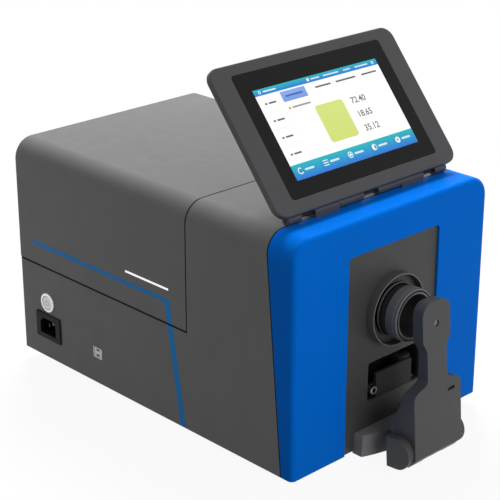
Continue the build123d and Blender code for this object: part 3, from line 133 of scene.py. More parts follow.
def finish_of(
    name,
    color,
    roughness,
    metallic=0.0,
    grain=900.0,
    bump=0.25,
    variation=0.06,
    edge_rub_and_highlight=None,
    edge_rub_and_highlight_amount=0.25,
    edge=0.5,
    stretch=None,
    specular=0.5,
    coat=0.0,
    coat_roughness=0.1,
):
    """A moulded, painted or machined surface with grain, faint blotches, and edges lightened
    partly by wear and partly by a painted highlight.
    """
    material, tree, shader = new_material(name)
    base = linear(color)
    dark = tuple(v * (1 - variation) for v in base)
    light = tuple(min(1.0, v * (1 + variation)) for v in base)
    tint = blended(tree, span(tree, noise(tree, BLOTCHES), 0.0, 1.0), dark, light)
    speckle = tuple(v * (1 - variation / 2) for v in base)
    fine = noise(tree, grain, 2.0, stretch)
    tint = blended(tree, span(tree, fine, 0.0, 0.5), tint, speckle)
    # Lighter edges: partly wear, partly a painted highlight along sharp edges
    if edge_rub_and_highlight is not None:
        mask = edge_mask(tree, EDGE_RUB_AND_HIGHLIGHT_REACH * MM)
        patchy = tree.nodes.new("ShaderNodeMath")
        patchy.operation = "MULTIPLY"
        tree.links.new(mask, patchy.inputs[0])
        tree.links.new(span(tree, noise(tree, RUB_AND_HIGHLIGHT_PATCHES), 0.0, edge_rub_and_highlight_amount), patchy.inputs[1])
        tint = blended(tree, patchy.outputs["Value"], tint, linear(edge_rub_and_highlight))
    tree.links.new(tint, shader.inputs["Base Color"])
    rough = span(tree, noise(tree, GLOSS_PATCHES), roughness * 0.92, roughness * 1.08)
    tree.links.new(rough, shader.inputs["Roughness"])
    shader.inputs["Metallic"].default_value = metallic
    shader.inputs["Specular IOR Level"].default_value = specular
    shader.inputs["Coat Weight"].default_value = coat
    shader.inputs["Coat Roughness"].default_value = coat_roughness
    rounded = tree.nodes.new("ShaderNodeBevel")
    rounded.samples = BEVEL_SAMPLES
    rounded.inputs["Radius"].default_value = edge * MM
    relief = tree.nodes.new("ShaderNodeBump")
    relief.inputs["Strength"].default_value = bump
    relief.inputs["Distance"].default_value = RELIEF * MM
    tree.links.new(fine, relief.inputs["Height"])
    tree.links.new(rounded.outputs["Normal"], relief.inputs["Normal"])
    tree.links.new(relief.outputs["Normal"], shader.inputs["Normal"])
    return material


def clear_glass(name, color, roughness):
    material, tree, shader = new_material(name)
    shader.inputs["Transmission Weight"].default_value = 1.0
    shader.inputs["IOR"].default_value = 1.5
    tint = blended(
        tree, span(tree, noise(tree, 30.0), 0.0, 1.0), linear(color), linear("#f2f7f8")
    )
    tree.links.new(tint, shader.inputs["Base Color"])
    tree.links.new(
        span(tree, noise(tree, 200.0), roughness, roughness * 2), shader.inputs["Roughness"]
    )
    return material


grey_case = finish_of(
    "grey_case", "#666667", 0.5, edge_rub_and_highlight="#858586", edge_rub_and_highlight_amount=0.3, bump=0.3, variation=0.025, specular=0.3
)
blue_shell = finish_of(
    "blue_shell",
    "#0074e6",
    0.45,
    edge_rub_and_highlight="#3f9bf0",
    edge_rub_and_highlight_amount=0.2,
    edge=0.6,
    bump=0.2,
    variation=0.03,
    specular=0.04,
)
dark_plate = finish_of("dark_plate", "#39393a", 0.55, edge_rub_and_highlight="#6a6a6a", bump=0.3, variation=0.04)
# Ring: the plate's grey made lighter as painted light on its shaded walls, with a strong painted
# highlight on its edges
ring_painted_light = finish_of("ring_painted_light", "#464647", 0.5, edge_rub_and_highlight="#a0a0a0", edge_rub_and_highlight_amount=0.6, bump=0.15, edge=0.3)
# Grey of the painted highlight on the ring's lip
lip_painted_highlight = finish_of("lip_painted_highlight", "#79797a", 0.4, bump=0.1)
# Dark grey of the painted shade on the collar's neck
neck_painted_shade = finish_of("neck_painted_shade", "#262627", 0.5, bump=0.15)
collar_grey = finish_of("collar_grey", "#6c6c6d", 0.38, edge_rub_and_highlight="#8a8a8a", edge_rub_and_highlight_amount=0.3, bump=0.12)
arm_paint = finish_of(
    "arm_paint", "#4a4a4b", 0.5, edge_rub_and_highlight="#8a8a8a", edge_rub_and_highlight_amount=0.3, edge=0.7, specular=0.35
)
block_paint = finish_of("block_paint", "#7a7a7c", 0.5, edge_rub_and_highlight="#8f8f8f", edge_rub_and_highlight_amount=0.3, edge=0.7)
screen_plastic = finish_of(
    "screen_plastic", "#48484a", 0.45, edge_rub_and_highlight="#777777", edge_rub_and_highlight_amount=0.15, bump=0.25, specular=0.3
)
black_plastic = finish_of("black_plastic", "#1c1c1d", 0.5, edge_rub_and_highlight="#4a4a4a", bump=0.3)
inlet_black = finish_of("inlet_black", "#111112", 0.45, bump=0.15, variation=0.04, specular=0.1)
pocket_black = finish_of("pocket_black", "#19191a", 0.6, edge_rub_and_highlight="#3c3c3c", bump=0.3)
flap_black = finish_of(
    "flap_black", "#2b2b2c", 0.6, edge_rub_and_highlight="#444444", edge_rub_and_highlight_amount=0.15, bump=0.25, specular=0.25
)
# Near-black for painted shade and shadow: along the seams, round the collar's foot and in the
# knob's socket
painted_shade_black = finish_of("painted_shade_black", "#070707", 0.8, bump=0.2, specular=0.1)
sheet_metal = finish_of(
    "sheet_metal", "#a9abad", 0.42, metallic=0.9, edge_rub_and_highlight="#d8d8d8", stretch=(1.0, 12.0, 12.0)
)
dark_metal = finish_of("dark_metal", "#2b2b2d", 0.5, metallic=0.3, edge_rub_and_highlight="#77787a", bump=0.2)
steel = finish_of(
    "steel", "#b9bbbd", 0.28, metallic=1.0, edge_rub_and_highlight="#e6e6e6", stretch=(1.0, 8.0, 8.0), bump=0.1
)
dark_pin = finish_of("dark_pin", "#241f1b", 0.35, metallic=0.6, edge_rub_and_highlight="#6b5a48", bump=0.1)
bright_ring = finish_of("bright_ring", "#f4f4f5", 0.3, metallic=0.6, edge_rub_and_highlight="#ffffff", bump=0.05)
bright_cap = finish_of("bright_cap", "#dcdcde", 0.3, metallic=0.5, edge_rub_and_highlight="#f0f0f0", bump=0.08)
groove_grey = finish_of("groove_grey", "#5c5e61", 0.4, bump=0.05)
mark_grey = finish_of("mark_grey", "#a5a7aa", 0.4, bump=0.05)
dark_steel = finish_of("dark_steel", "#747478", 0.3, metallic=0.9, edge_rub_and_highlight="#9a9a9c", bump=0.1)
socket_grey = finish_of("socket_grey", "#cfd1d3", 0.35, metallic=0.3, edge_rub_and_highlight="#dedede", bump=0.08)
aluminium = finish_of("aluminium", "#b4b6b8", 0.35, metallic=1.0, edge_rub_and_highlight="#dcdcdc", bump=0.12)
white_coating = finish_of("white_coating", "#ececea", 0.85, bump=0.4, variation=0.03)
white_print = finish_of("white_print", "#ffffff", 0.5, bump=0.1, variation=0.01)
# A faint glow makes the white line as bright as on the photograph
white_shader = white_print.node_tree.nodes["Principled BSDF"]
white_shader.inputs["Emission Color"].default_value = (1.0, 1.0, 1.0, 1.0)
white_shader.inputs["Emission Strength"].default_value = 0.7
blue_print = finish_of("blue_print", "#1288d6", 0.5, bump=0.15, variation=0.04, specular=0.2)
rubber = finish_of("rubber", "#161616", 0.8, bump=0.5, variation=0.15, specular=0.3)
board_green = finish_of("board_green", "#1c5a36", 0.4, bump=0.2, coat=0.4)
chip_black = finish_of("chip_black", "#161618", 0.6, bump=0.3)
mirror_coat = finish_of("mirror_coat", "#d0d2d6", 0.06, metallic=1.0, bump=0.02, variation=0.02)
screen_glass = finish_of(
    "screen_glass", "#141414", 0.18, bump=0.01, variation=0.04, specular=0.12, edge=0.2
)
lens_glass = clear_glass("lens_glass", "#dfeef2", 0.02)

dressed = {  # the nodes that each material covers
    grey_case: ["main_housing", "hood"],
    blue_shell: ["front_shell"],
    dark_plate: ["front_plate", "port_insert"],
    flap_black: ["pocket_flap"],
    ring_painted_light: ["port_ring"],
    collar_grey: ["measuring_collar"],
    black_plastic: [
        "button_switch",
        "deck_brackets",
        "sample_chamber",
        "screen_standoffs",
        "friction_washers",
    ],
    inlet_black: ["mains_inlet"],
    pocket_black: ["pocket_tray"],
    arm_paint: ["holder_arm"],
    block_paint: ["arm_block"],
    screen_plastic: ["screen_frame", "screen_rear_shell", "screen_hinge_base"],
    sheet_metal: ["front_frame", "base_plate", "power_supply"],
    dark_metal: [
        "aperture_mask",
        "deck_plate",
        "cuvette_holder",
        "beam_tube",
        "optical_bench",
        "bench_cover",
    ],
    dark_pin: ["screen_hinge_pin", "flap_pin"],
    dark_steel: ["pad_screw", "inlet_pins"],
    steel: [
        "arm_pin",
        "hinge_fixed_leaves",
        "hinge_moving_leaves",
        "hinge_pins",
        "board_standoffs",
    ],
    socket_grey: ["data_socket", "socket_tongue"],
    bright_ring: ["button_bezel"],
    bright_cap: ["button_cap"],
    aluminium: ["lamp_module"],
    white_coating: ["sphere_front_half", "sphere_rear_half"],
    rubber: ["feet", "port_seal", "holder_pad", "hood_gasket"],
    board_green: ["main_board", "screen_board", "detector"],
    mirror_coat: ["grating"],
    screen_glass: ["touch_glass", "display_panel"],
    lens_glass: ["beam_lens"],
}
for material, members in dressed.items():
    for member in members:
        data = nodes[member].data
        data.materials.clear()
        data.materials.append(material)

# Pieces, made in millimetres


def close(name, shape, material, body, smooth=None):
    """Turns a shape in millimetres into a piece that rides on its body."""
    shape.transform(Matrix.Scale(MM, 4))
    bmesh.ops.recalc_face_normals(shape, faces=shape.faces)
    mesh = bpy.data.meshes.new(name)
    shape.to_mesh(mesh)
    shape.free()
    if smooth is not None:
        mesh.shade_smooth()
        mesh.set_sharp_from_angle(angle=radians(smooth))
    return place(name, mesh, material, body)


def place(name, mesh, material, body):
    """Adds a mesh in metres as a piece that rides on its body."""
    mesh.materials.append(material)
    piece = bpy.data.objects.new(name, mesh)
    bpy.context.scene.collection.objects.link(piece)
    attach(piece, body)
    return piece


def grow(shape, loops, at, thickness):
    """Adds a flat body: an outline and its holes in (u, v), set in space by at(u, v, w)."""
    layers = [
        [[shape.verts.new(at(u, v, w)) for u, v in loop] for loop in loops] for w in (0, thickness)
    ]
    flat = [[Vector((u, v, 0.0)) for u, v in loop] for loop in loops]
    for layer in layers:
        verts = [vert for loop in layer for vert in loop]
        for corners in tessellate_polygon(flat):
            shape.faces.new([verts[i] for i in corners])
    for near, far in zip(*layers):
        for i in range(len(near)):
            j = (i + 1) % len(near)
            shape.faces.new((near[i], near[j], far[j], far[i]))


# Ways to set (u, v, w) in space: u and v lie in a plane, w is the height over it
def facing_front(y):
    return lambda u, v, w: Vector((u, y + w, v))


def facing_left(x):
    return lambda u, v, w: Vector((x + w, u, v))


def facing_up(z):
    return lambda u, v, w: Vector((u, v, z + w))


def spin(shape, profile, origin, axis, steps=96):
    """Adds a closed profile of (along, radius), turned about an axis; radius 0 is a point."""
    axis = Vector(axis).normalized()
    first = axis.orthogonal().normalized()
    second = axis.cross(first)
    rings = []
    for along, radius in profile:
        middle = Vector(origin) + axis * along
        if radius == 0:
            rings.append([shape.verts.new(middle)] * steps)
            continue
        turns = [2 * pi * i / steps for i in range(steps)]
        rings.append(
            [shape.verts.new(middle + (first * cos(t) + second * sin(t)) * radius) for t in turns]
        )
    closed = profile[0][1] > 0 or profile[-1][1] > 0
    for near, far in zip(rings, rings[1:] + (rings[:1] if closed else [])):
        for i in range(steps):
            j = (i + 1) % steps
            corners = []
            for vert in (near[i], near[j], far[j], far[i]):
                if vert not in corners:
                    corners.append(vert)
            shape.faces.new(corners)


def turned(name, profile, origin, axis, material, body, steps=96):
    shape = bmesh.new()
    spin(shape, profile, origin, axis, steps)
    return close(name, shape, material, body, smooth=25)


def rounded(u, v, width, height, radius, steps=6):
    """A rectangle about (u, v) with rounded corners."""
    points = []
    for side_u, side_v, start in ((1, -1, 270), (1, 1, 0), (-1, 1, 90), (-1, -1, 180)):
        for i in range(steps + 1):
            angle = radians(start + 90 * i / steps)
            points.append(
                (
                    u + side_u * (width / 2 - radius) + radius * cos(angle),
                    v + side_v * (height / 2 - radius) + radius * sin(angle),
                )
            )
    return points


def circle(u, v, radius, steps=72):
    turns = [2 * pi * i / steps for i in range(steps)]
    return [(u + radius * cos(t), v + radius * sin(t)) for t in turns]


def case_path(inset, bottom, steps=12):
    """The case's cross-section from the left bottom over the roof to the right bottom."""
    x, top, radius = -LEFT - inset, CASE_TOP - inset, ROOF_RADIUS - inset
    left = [
        (
            -x + radius - radius * cos(radians(90 * i / steps)),
            top - radius + radius * sin(radians(90 * i / steps)),
        )
        for i in range(steps + 1)
    ]
    return [(-x, bottom), *left, *((-u, v) for u, v in reversed(left)), (x, bottom)]


def case_arch(outer, inner, bottom):
    return case_path(outer, bottom) + list(reversed(case_path(inner, bottom)))


def slab(name, outline, thickness, direction, material, body):
    """A flat print: an outline of points in space, thickened along a direction."""
    shape = bmesh.new()
    low = [shape.verts.new(Vector(p)) for p in outline]
    high = [shape.verts.new(Vector(p) + Vector(direction) * thickness) for p in outline]
    shape.faces.new(low)
    shape.faces.new(list(reversed(high)))
    for i in range(len(low)):
        j = (i + 1) % len(low)
        shape.faces.new((low[i], low[j], high[j], high[i]))
    return close(name, shape, material, body)


# Measuring head: the ring with a painted highlight on its front edge, the recess floor and the
# grooved collar with painted shade on its neck and foot
PORT_HEIGHT = 138.0
PORT = (0.0, 0.0, PORT_HEIGHT)
BACKWARD = (0.0, 1.0, 0.0)
PLATE_FACE = FRONT + 2.0
FRAME_FACE = FRONT + 5.0
FRAME_BACK = FRONT + 7.0
RING_FRONT = FRONT - 6.5
RING_BORE = 32.2
RING_RADIUS = 33.4
FLOOR_FRONT = FRONT + 0.3
FLOOR_BORE = 24.9
COLLAR_FRONT = FRONT - 24.0
COLLAR_BORE = 20.0
COLLAR_RADIUS = 24.6
NECK_FRONT = FRONT - 11.6
NECK_RADIUS = 22.4
FOOT_SHADE_FRONT = FRONT - 4.5  # of the painted shade band round the collar's foot
FOOT_SHADE_RADIUS = 24.4
PORT_STEPS = 144


def around_port(name, profile, material, replaced=None):
    """A piece turned about the port's axis, from a profile of (y, radius)."""
    piece = turned(name, profile, PORT, BACKWARD, material, "instrument", PORT_STEPS)
    if replaced is not None:
        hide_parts(replaced)


around_port(
    "port_ring_lipped",
    [
        (RING_FRONT + 0.6, RING_BORE),
        (RING_FRONT + 0.12, RING_BORE + 0.15),
        (RING_FRONT, RING_BORE + 0.4),
        (RING_FRONT, RING_RADIUS - 0.4),
        (RING_FRONT + 0.12, RING_RADIUS - 0.15),
        (RING_FRONT + 0.6, RING_RADIUS),
        (PLATE_FACE, RING_RADIUS + 0.3),
        (PLATE_FACE, RING_BORE),
    ],
    ring_painted_light,
    "port_ring",
)
# A thin lighter band round the ring's front edge: a painted highlight
around_port(
    "port_ring_painted_highlight",
    [
        (RING_FRONT - 0.08, RING_BORE + 0.42),
        (RING_FRONT - 0.08, RING_RADIUS - 0.4),
        (RING_FRONT + 0.06, RING_RADIUS - 0.1),
        (RING_FRONT + 0.3, RING_RADIUS + 0.05),
        (RING_FRONT + 0.6, RING_RADIUS),
        (RING_FRONT + 0.12, RING_RADIUS - 0.2),
        (RING_FRONT + 0.02, RING_BORE + 0.42),
    ],
    lip_painted_highlight,
)
around_port(
    "port_recess_floor",
    [
        (FLOOR_FRONT, FLOOR_BORE),
        (FLOOR_FRONT, RING_BORE - 0.3),
        (FRAME_FACE, RING_BORE - 0.3),
        (FRAME_FACE, FLOOR_BORE),
    ],
    dark_plate,
    "port_insert",
)
around_port(
    "measuring_collar_grooved",
    [
        (COLLAR_FRONT, COLLAR_BORE),
        (COLLAR_FRONT, 21.8),
        (COLLAR_FRONT + 1.0, 21.8),
        (COLLAR_FRONT + 1.0, 23.1),
        (COLLAR_FRONT, 23.1),
        (COLLAR_FRONT, 23.45),
        (COLLAR_FRONT + 0.25, 23.95),
        (COLLAR_FRONT + 0.9, 24.35),
        (COLLAR_FRONT + 4.0, 24.35),
        (COLLAR_FRONT + 4.0, COLLAR_RADIUS),
        (NECK_FRONT, COLLAR_RADIUS),
        (NECK_FRONT, NECK_RADIUS),
        (FLOOR_FRONT, NECK_RADIUS),
        (FLOOR_FRONT, COLLAR_RADIUS),
        (FRAME_BACK, COLLAR_RADIUS),
        (FRAME_BACK, 21.5),
        (FRAME_FACE, 21.5),
        (FRAME_FACE, COLLAR_BORE),
    ],
    collar_grey,
    "measuring_collar",
)
# A dark sleeve over the collar's neck: painted shade
around_port(
    "collar_neck_painted_shade",
    [
        (NECK_FRONT, NECK_RADIUS),
        (NECK_FRONT, NECK_RADIUS + 0.3),
        (FOOT_SHADE_FRONT, NECK_RADIUS + 0.3),
        (FOOT_SHADE_FRONT, NECK_RADIUS),
    ],
    neck_painted_shade,
)
# Near-black bands round the collar's foot, either side of the clamp ring: painted shade in its
# grooves
around_port(
    "collar_foot_painted_shade",
    [
        (FOOT_SHADE_FRONT, NECK_RADIUS),
        (FOOT_SHADE_FRONT, FOOT_SHADE_RADIUS),
        (FLOOR_FRONT, FOOT_SHADE_RADIUS),
        (FLOOR_FRONT, NECK_RADIUS),
    ],
    painted_shade_black,
)
around_port(
    "collar_clamp_ring",
    [
        (FOOT_SHADE_FRONT + 0.2, FOOT_SHADE_RADIUS),
        (FOOT_SHADE_FRONT + 0.2, FOOT_SHADE_RADIUS + 0.45),
        (FOOT_SHADE_FRONT + 1.9, FOOT_SHADE_RADIUS + 0.45),
        (FOOT_SHADE_FRONT + 1.9, FOOT_SHADE_RADIUS),
    ],
    collar_grey,
)

# Front plate and the pan behind it, open at the port and the pocket
PLATE_HALF = 58.5
PLATE_TOP = 200.5
PLATE_THICKNESS = 3.0
POCKET_X, POCKET_Z = 6.2, 73.65  # its middle
POCKET_WIDTH, POCKET_HEIGHT = 70.0, 37.7
POCKET_RADIUS = 3.0
POCKET_WALL = 1.5
PAN_WALL = 2.0
PAN_INSET = 3.3  # from the case's outside
PAN_LOW = CASE_LOW + 2.0
PAN_DEPTH = 40.0


def pocket_outline(margin):
    """The pocket's opening, widened on every side by a margin."""
    return rounded(
        POCKET_X,
        POCKET_Z,
        POCKET_WIDTH + 2 * margin,
        POCKET_HEIGHT + 2 * margin,
        POCKET_RADIUS + margin,
    )


shape = bmesh.new()
grow(
    shape,
    [
        [
            (-PLATE_HALF, CASE_LOW),
            (PLATE_HALF, CASE_LOW),
            (PLATE_HALF, PLATE_TOP),
            (-PLATE_HALF, PLATE_TOP),
        ],
        circle(0.0, PORT_HEIGHT, RING_BORE),
        pocket_outline(0.0),
    ],
    facing_front(PLATE_FACE),
    PLATE_THICKNESS,
)
plate = close("front_plate_pierced", shape, dark_plate, "instrument", smooth=25)
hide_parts("front_plate")
shape = bmesh.new()
grow(
    shape,
    [
        case_path(PAN_INSET, PAN_LOW),
        circle(0.0, PORT_HEIGHT, FLOOR_BORE),
        pocket_outline(POCKET_WALL + 0.3),
    ],
    facing_front(FRAME_FACE),
    PAN_WALL,
)
pan_rim = case_arch(PAN_INSET, PAN_INSET + PAN_WALL, PAN_LOW)
grow(shape, [pan_rim], facing_front(FRAME_BACK), PAN_DEPTH)
pan = close("front_pan", shape, sheet_metal, "instrument", smooth=25)
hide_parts("front_frame")

# Pocket under the port: box, flush flap, its pin, knob and switch
RIGHTWARD = (1.0, 0.0, 0.0)
BOX_END = FRAME_FACE + 23.0 - POCKET_WALL  # front of the box's rear wall
FLAP_HALF = 23.8
FLAP_LEFT, FLAP_RIGHT = POCKET_X - FLAP_HALF, POCKET_X + FLAP_HALF
FLAP_LOW, FLAP_HIGH = 55.3, 79.0
FLAP_BACK = PLATE_FACE + 3.0
PIN_Y, PIN_Z = PLATE_FACE + 3.4, 58.3
BARREL_BORE, BARREL_RADIUS = 1.6, 2.8
SPINDLE_LEFT, SPINDLE_RIGHT, SPINDLE_RADIUS = -20.7, 33.1, 0.9
KNOB_X, KNOB_Z = -23.2, 65.1
KNOB_FRONT = (KNOB_X, PLATE_FACE - 3.2, KNOB_Z)
KNOB_RADIUS = 3.8
KNOB_SOCKET = 2.4  # radius
KNOB_SHAFT = 2.2  # radius
BRACKET_WIDTH = 3.0
BRACKET_GAP = 0.3
BRACKET_RADIUS = 3.2
BRACKET_LOW = 54.8
SWITCH_X, SWITCH_Y = 28.2, -153.6  # its middle
SWITCH_WIDTH, SWITCH_DEPTH = 16.5, 5.9
SWITCH_LOW = 64.0
LEDGE = 2.0  # thickness of the ledge under the switch
shape = bmesh.new()
grow(
    shape,
    [pocket_outline(POCKET_WALL), pocket_outline(0.0)],
    facing_front(FRAME_FACE),
    BOX_END - FRAME_FACE,
)
grow(shape, [pocket_outline(POCKET_WALL)], facing_front(BOX_END), POCKET_WALL)
bracket = [(FRAME_FACE, BRACKET_LOW), (FRAME_FACE, PIN_Z)]
for i in range(1, 13):
    angle = radians(15 * i)
    bracket.append((PIN_Y - BRACKET_RADIUS * cos(angle), PIN_Z + BRACKET_RADIUS * sin(angle)))
bracket.append((PIN_Y + BRACKET_RADIUS, BRACKET_LOW))
for start in (FLAP_LEFT - BRACKET_GAP - BRACKET_WIDTH, FLAP_RIGHT + BRACKET_GAP):
    grow(shape, [bracket], facing_left(start), BRACKET_WIDTH)
grow(
    shape,
    [rounded(SWITCH_X, (SWITCH_Y + BOX_END) / 2, SWITCH_WIDTH, BOX_END - SWITCH_Y, 0.5)],
    facing_up(SWITCH_LOW - LEDGE),
    LEDGE,
)
box = close("pocket_box", shape, pocket_black, "instrument", smooth=25)
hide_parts("pocket_tray")
shape = bmesh.new()
switch = rounded(SWITCH_X, SWITCH_Y, SWITCH_WIDTH, SWITCH_DEPTH, 2.0)
grow(shape, [switch], facing_up(SWITCH_LOW), 15.2)
close("pocket_switch", shape, flap_black, "instrument", smooth=25)
shape = bmesh.new()
leaf = [
    (PLATE_FACE, FLAP_LOW),
    (PLATE_FACE, FLAP_HIGH - 0.6),
    (PLATE_FACE + 0.18, FLAP_HIGH - 0.18),
    (PLATE_FACE + 0.6, FLAP_HIGH),
    (FLAP_BACK, FLAP_HIGH),
    (FLAP_BACK, FLAP_LOW),
]
flap_width = 2 * FLAP_HALF
grow(shape, [leaf], facing_left(FLAP_LEFT), flap_width)
barrel = [
    (0.0, BARREL_BORE),
    (0.0, BARREL_RADIUS),
    (flap_width, BARREL_RADIUS),
    (flap_width, BARREL_BORE),
]
spin(shape, barrel, (FLAP_LEFT, PIN_Y, PIN_Z), RIGHTWARD, 48)
knob_arm = rounded(KNOB_X + 4.3, KNOB_Z + 0.9, 14.6, 5.0, 0.8)
grow(shape, [knob_arm], facing_front(FLAP_BACK), 2.5)
flap = close("pocket_leaf", shape, flap_black, "pocket_flap", smooth=25)
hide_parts("pocket_flap")
spindle = turned(
    "flap_spindle",
    [
        (SPINDLE_LEFT, 0.0),
        (SPINDLE_LEFT, SPINDLE_RADIUS - 0.2),
        (SPINDLE_LEFT + 0.2, SPINDLE_RADIUS),
        (SPINDLE_RIGHT - 0.2, SPINDLE_RADIUS),
        (SPINDLE_RIGHT, SPINDLE_RADIUS - 0.2),
        (SPINDLE_RIGHT, 0.0),
    ],
    (0.0, PIN_Y, PIN_Z),
    RIGHTWARD,
    dark_pin,
    "instrument",
    steps=32,
)
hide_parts("flap_pin")
turned(
    "flap_knob",
    [
        (1.2, 0.0),
        (1.2, KNOB_SOCKET),
        (0.0, KNOB_SOCKET),
        (0.0, KNOB_RADIUS - 0.4),
        (0.12, KNOB_RADIUS - 0.15),
        (0.4, KNOB_RADIUS),
        (3.6, KNOB_RADIUS),
        (3.6, KNOB_SHAFT),
        (6.2, KNOB_SHAFT),
        (6.2, 0.0),
    ],
    KNOB_FRONT,
    BACKWARD,
    steel,
    "pocket_flap",
    steps=64,
)
# A near-black disc at the bottom of the knob's socket: painted shade
turned(
    "flap_knob_socket",
    [(0.9, 0.0), (0.9, KNOB_SOCKET), (1.2, KNOB_SOCKET), (1.2, 0.0)],
    KNOB_FRONT,
    BACKWARD,
    painted_shade_black,
    "pocket_flap",
    steps=64,
)

# Painted shadow: thin dark strips along the case's seams
SEAM_SHADOW_WIDTH = 1.2
LONG_SEAM_SHADOW_WIDTH = 1.8  # of the seam along the left side
SEAM_SHADOW_HIDDEN = 0.3  # how far a strip reaches into the case
SEAM_SHADOW_GAP = 0.1  # from a strip to the seam
HOOD_EDGE = -31.25  # the hood's front
SEAM_DEPTH_LOW, SEAM_DEPTH_HIGH = 13.3, 33.0  # the front shell's rear edge, behind the front
seam_shadow_top = SEAM - SEAM_SHADOW_GAP
seam_shadow_bottom = seam_shadow_top - LONG_SEAM_SHADOW_WIDTH


def seam_strip(name, x, rear, low, high, thickness, direction):
    """A strip along a side of the case, from the hood's front backward."""
    corners = [(HOOD_EDGE + 0.1, low), (rear, low), (rear, high), (HOOD_EDGE + 0.1, high)]
    outline = [(x, *corner) for corner in corners]
    slab(name, outline, thickness, direction, painted_shade_black, "instrument")


def seam_arch(name, bottom, front, slope=0.0):
    """A strip over the roof and down both sides; on the right side it stays within the case."""
    shape = bmesh.new()
    grow(shape, [case_arch(-PROUD, SEAM_SHADOW_HIDDEN, bottom)], facing_front(front), SEAM_SHADOW_WIDTH)
    for vert in shape.verts:
        vert.co.x = min(vert.co.x, -LEFT - 0.03)
        vert.co.y += slope * (vert.co.z - CASE_LOW)
    close(name, shape, painted_shade_black, "instrument", smooth=25)


LEFTWARD = (-1.0, 0.0, 0.0)
seam_strip("seam_shadow_left", LEFT, REAR - 0.3, seam_shadow_bottom, seam_shadow_top, PROUD, LEFTWARD)
# on the right side the strip lies in the open seam
seam_strip(
    "seam_shadow_right", -LEFT - 2.0, REAR - 2.0, SEAM - 0.38, SEAM - 0.05, 1.95, RIGHTWARD
)
seam_arch("seam_shadow_roof", seam_shadow_bottom, HOOD_EDGE - SEAM_SHADOW_GAP - SEAM_SHADOW_WIDTH)
seam_arch(
    "seam_shadow_front",
    CASE_LOW + 0.2,
    FRONT + SEAM_DEPTH_LOW - 0.4,
    (SEAM_DEPTH_HIGH - SEAM_DEPTH_LOW) / (CASE_TOP - CASE_LOW),
)

# Printed lines on the left side, from the hood across the seam to the bottom edge
STRIPE_HEIGHT = 120.0  # heights above the case's bottom edge, depths behind its front
STRIPE_WIDTH = 4.3  # of the level part
SLANT_WIDTH = 7.3
STRIPE_REAR = 359.7
STRIPE_BEND = 159.4  # depth of the slanted part's middle, at the level part
STRIPE_FOOT = 139.4  # the same at the bottom
LINE_HEIGHT = 131.5
LINE_WIDTH = 2.0
LINE_REAR = 217.0
LINE_FRONT = 157.0


def on_side(depth, height):
    """A point on the left side, by its depth and height."""
    return (LEFT, FRONT + depth, CASE_LOW + height)


lean = (STRIPE_BEND - STRIPE_FOOT) / STRIPE_HEIGHT
half = STRIPE_WIDTH / 2
across_half = SLANT_WIDTH / 2 * (1 + lean**2) ** 0.5


def stripe_depth(height, offset):
    """Depth of the slanted part at a height."""
    return STRIPE_FOOT + lean * height + offset


hood_low = SEAM - CASE_LOW
top = STRIPE_HEIGHT + half
bottom = STRIPE_HEIGHT - half
slab(
    "hood_stripe",
    [
        on_side(STRIPE_REAR, top),
        on_side(STRIPE_REAR, bottom),
        on_side(stripe_depth(bottom, across_half), bottom),
        on_side(stripe_depth(hood_low, across_half), hood_low),
        on_side(stripe_depth(hood_low, -across_half), hood_low),
        on_side(stripe_depth(top, -across_half), top),
    ],
    PROUD,
    LEFTWARD,
    blue_print,
    "hood",
)
housing_top = seam_shadow_bottom - CASE_LOW  # under the painted seam shadow
slab(
    "housing_stripe",
    [
        on_side(stripe_depth(housing_top, across_half), housing_top),
        on_side(stripe_depth(0.2, across_half), 0.2),
        on_side(stripe_depth(0.2, -across_half), 0.2),
        on_side(stripe_depth(housing_top, -across_half), housing_top),
    ],
    PROUD,
    LEFTWARD,
    blue_print,
    "instrument",
)
slab(
    "hood_line",
    [
        on_side(LINE_REAR, LINE_HEIGHT + LINE_WIDTH / 2),
        on_side(LINE_REAR, LINE_HEIGHT - LINE_WIDTH / 2),
        on_side(LINE_FRONT, LINE_HEIGHT - LINE_WIDTH / 2),
        on_side(LINE_FRONT, LINE_HEIGHT + LINE_WIDTH / 2),
    ],
    PROUD,
    LEFTWARD,
    white_print,
    "hood",
)

# The lit picture on the screen, in its own (u, v) from the top left corner, v downward
PICTURE_WIDTH = 154.2
PICTURE_HEIGHT = 85.9
PICTURE_LOW = 27.0  # above the screen's bottom edge
TOP_BAR = 5.9
BOTTOM_BAR = 13.9
TEAL = "#00b5bd"
SKY = "#0a6fd6"
screen_up = Vector((0.0, sin(radians(SCREEN_LEAN)), cos(radians(SCREEN_LEAN))))
screen_out = Vector((0.0, -cos(radians(SCREEN_LEAN)), sin(radians(SCREEN_LEAN))))


def on_picture(u, v, lift):
    """A point of the picture in metres, lifted off the glass."""
    place_up = PICTURE_LOW + PICTURE_HEIGHT - v
    point = SCREEN_AXIS + Vector((u - PICTURE_WIDTH / 2, 0.0, 0.0)) + screen_up * place_up
    return (point + screen_out * (GLASS_TOP + lift)) * MM


picture = bmesh.new()
paint = picture.loops.layers.float_color.new("paint")
WHITE = "#ffffff"
INK = "#5d5f63"
PALE_LINE = "#dfe2e6"
PALE = "#d6ecfa"


def patch(corners, colors, lift):
    """A flat polygon of the picture, with one colour for each corner."""
    verts = [picture.verts.new(on_picture(u, v, lift)) for u, v in corners]
    face = picture.faces.new(verts)
    face.normal_update()
    if face.normal.dot(screen_out) < 0:
        face.normal_flip()
    shade = dict(zip(verts, colors))
    for loop in face.loops:
        loop[paint] = (*linear(shade[loop.vert]), 1.0)


def block(left, top_v, right, bottom_v, upper, lower, lift):
    patch(
        [(left, top_v), (right, top_v), (right, bottom_v), (left, bottom_v)],
        [upper, upper, lower, lower],
        lift,
    )


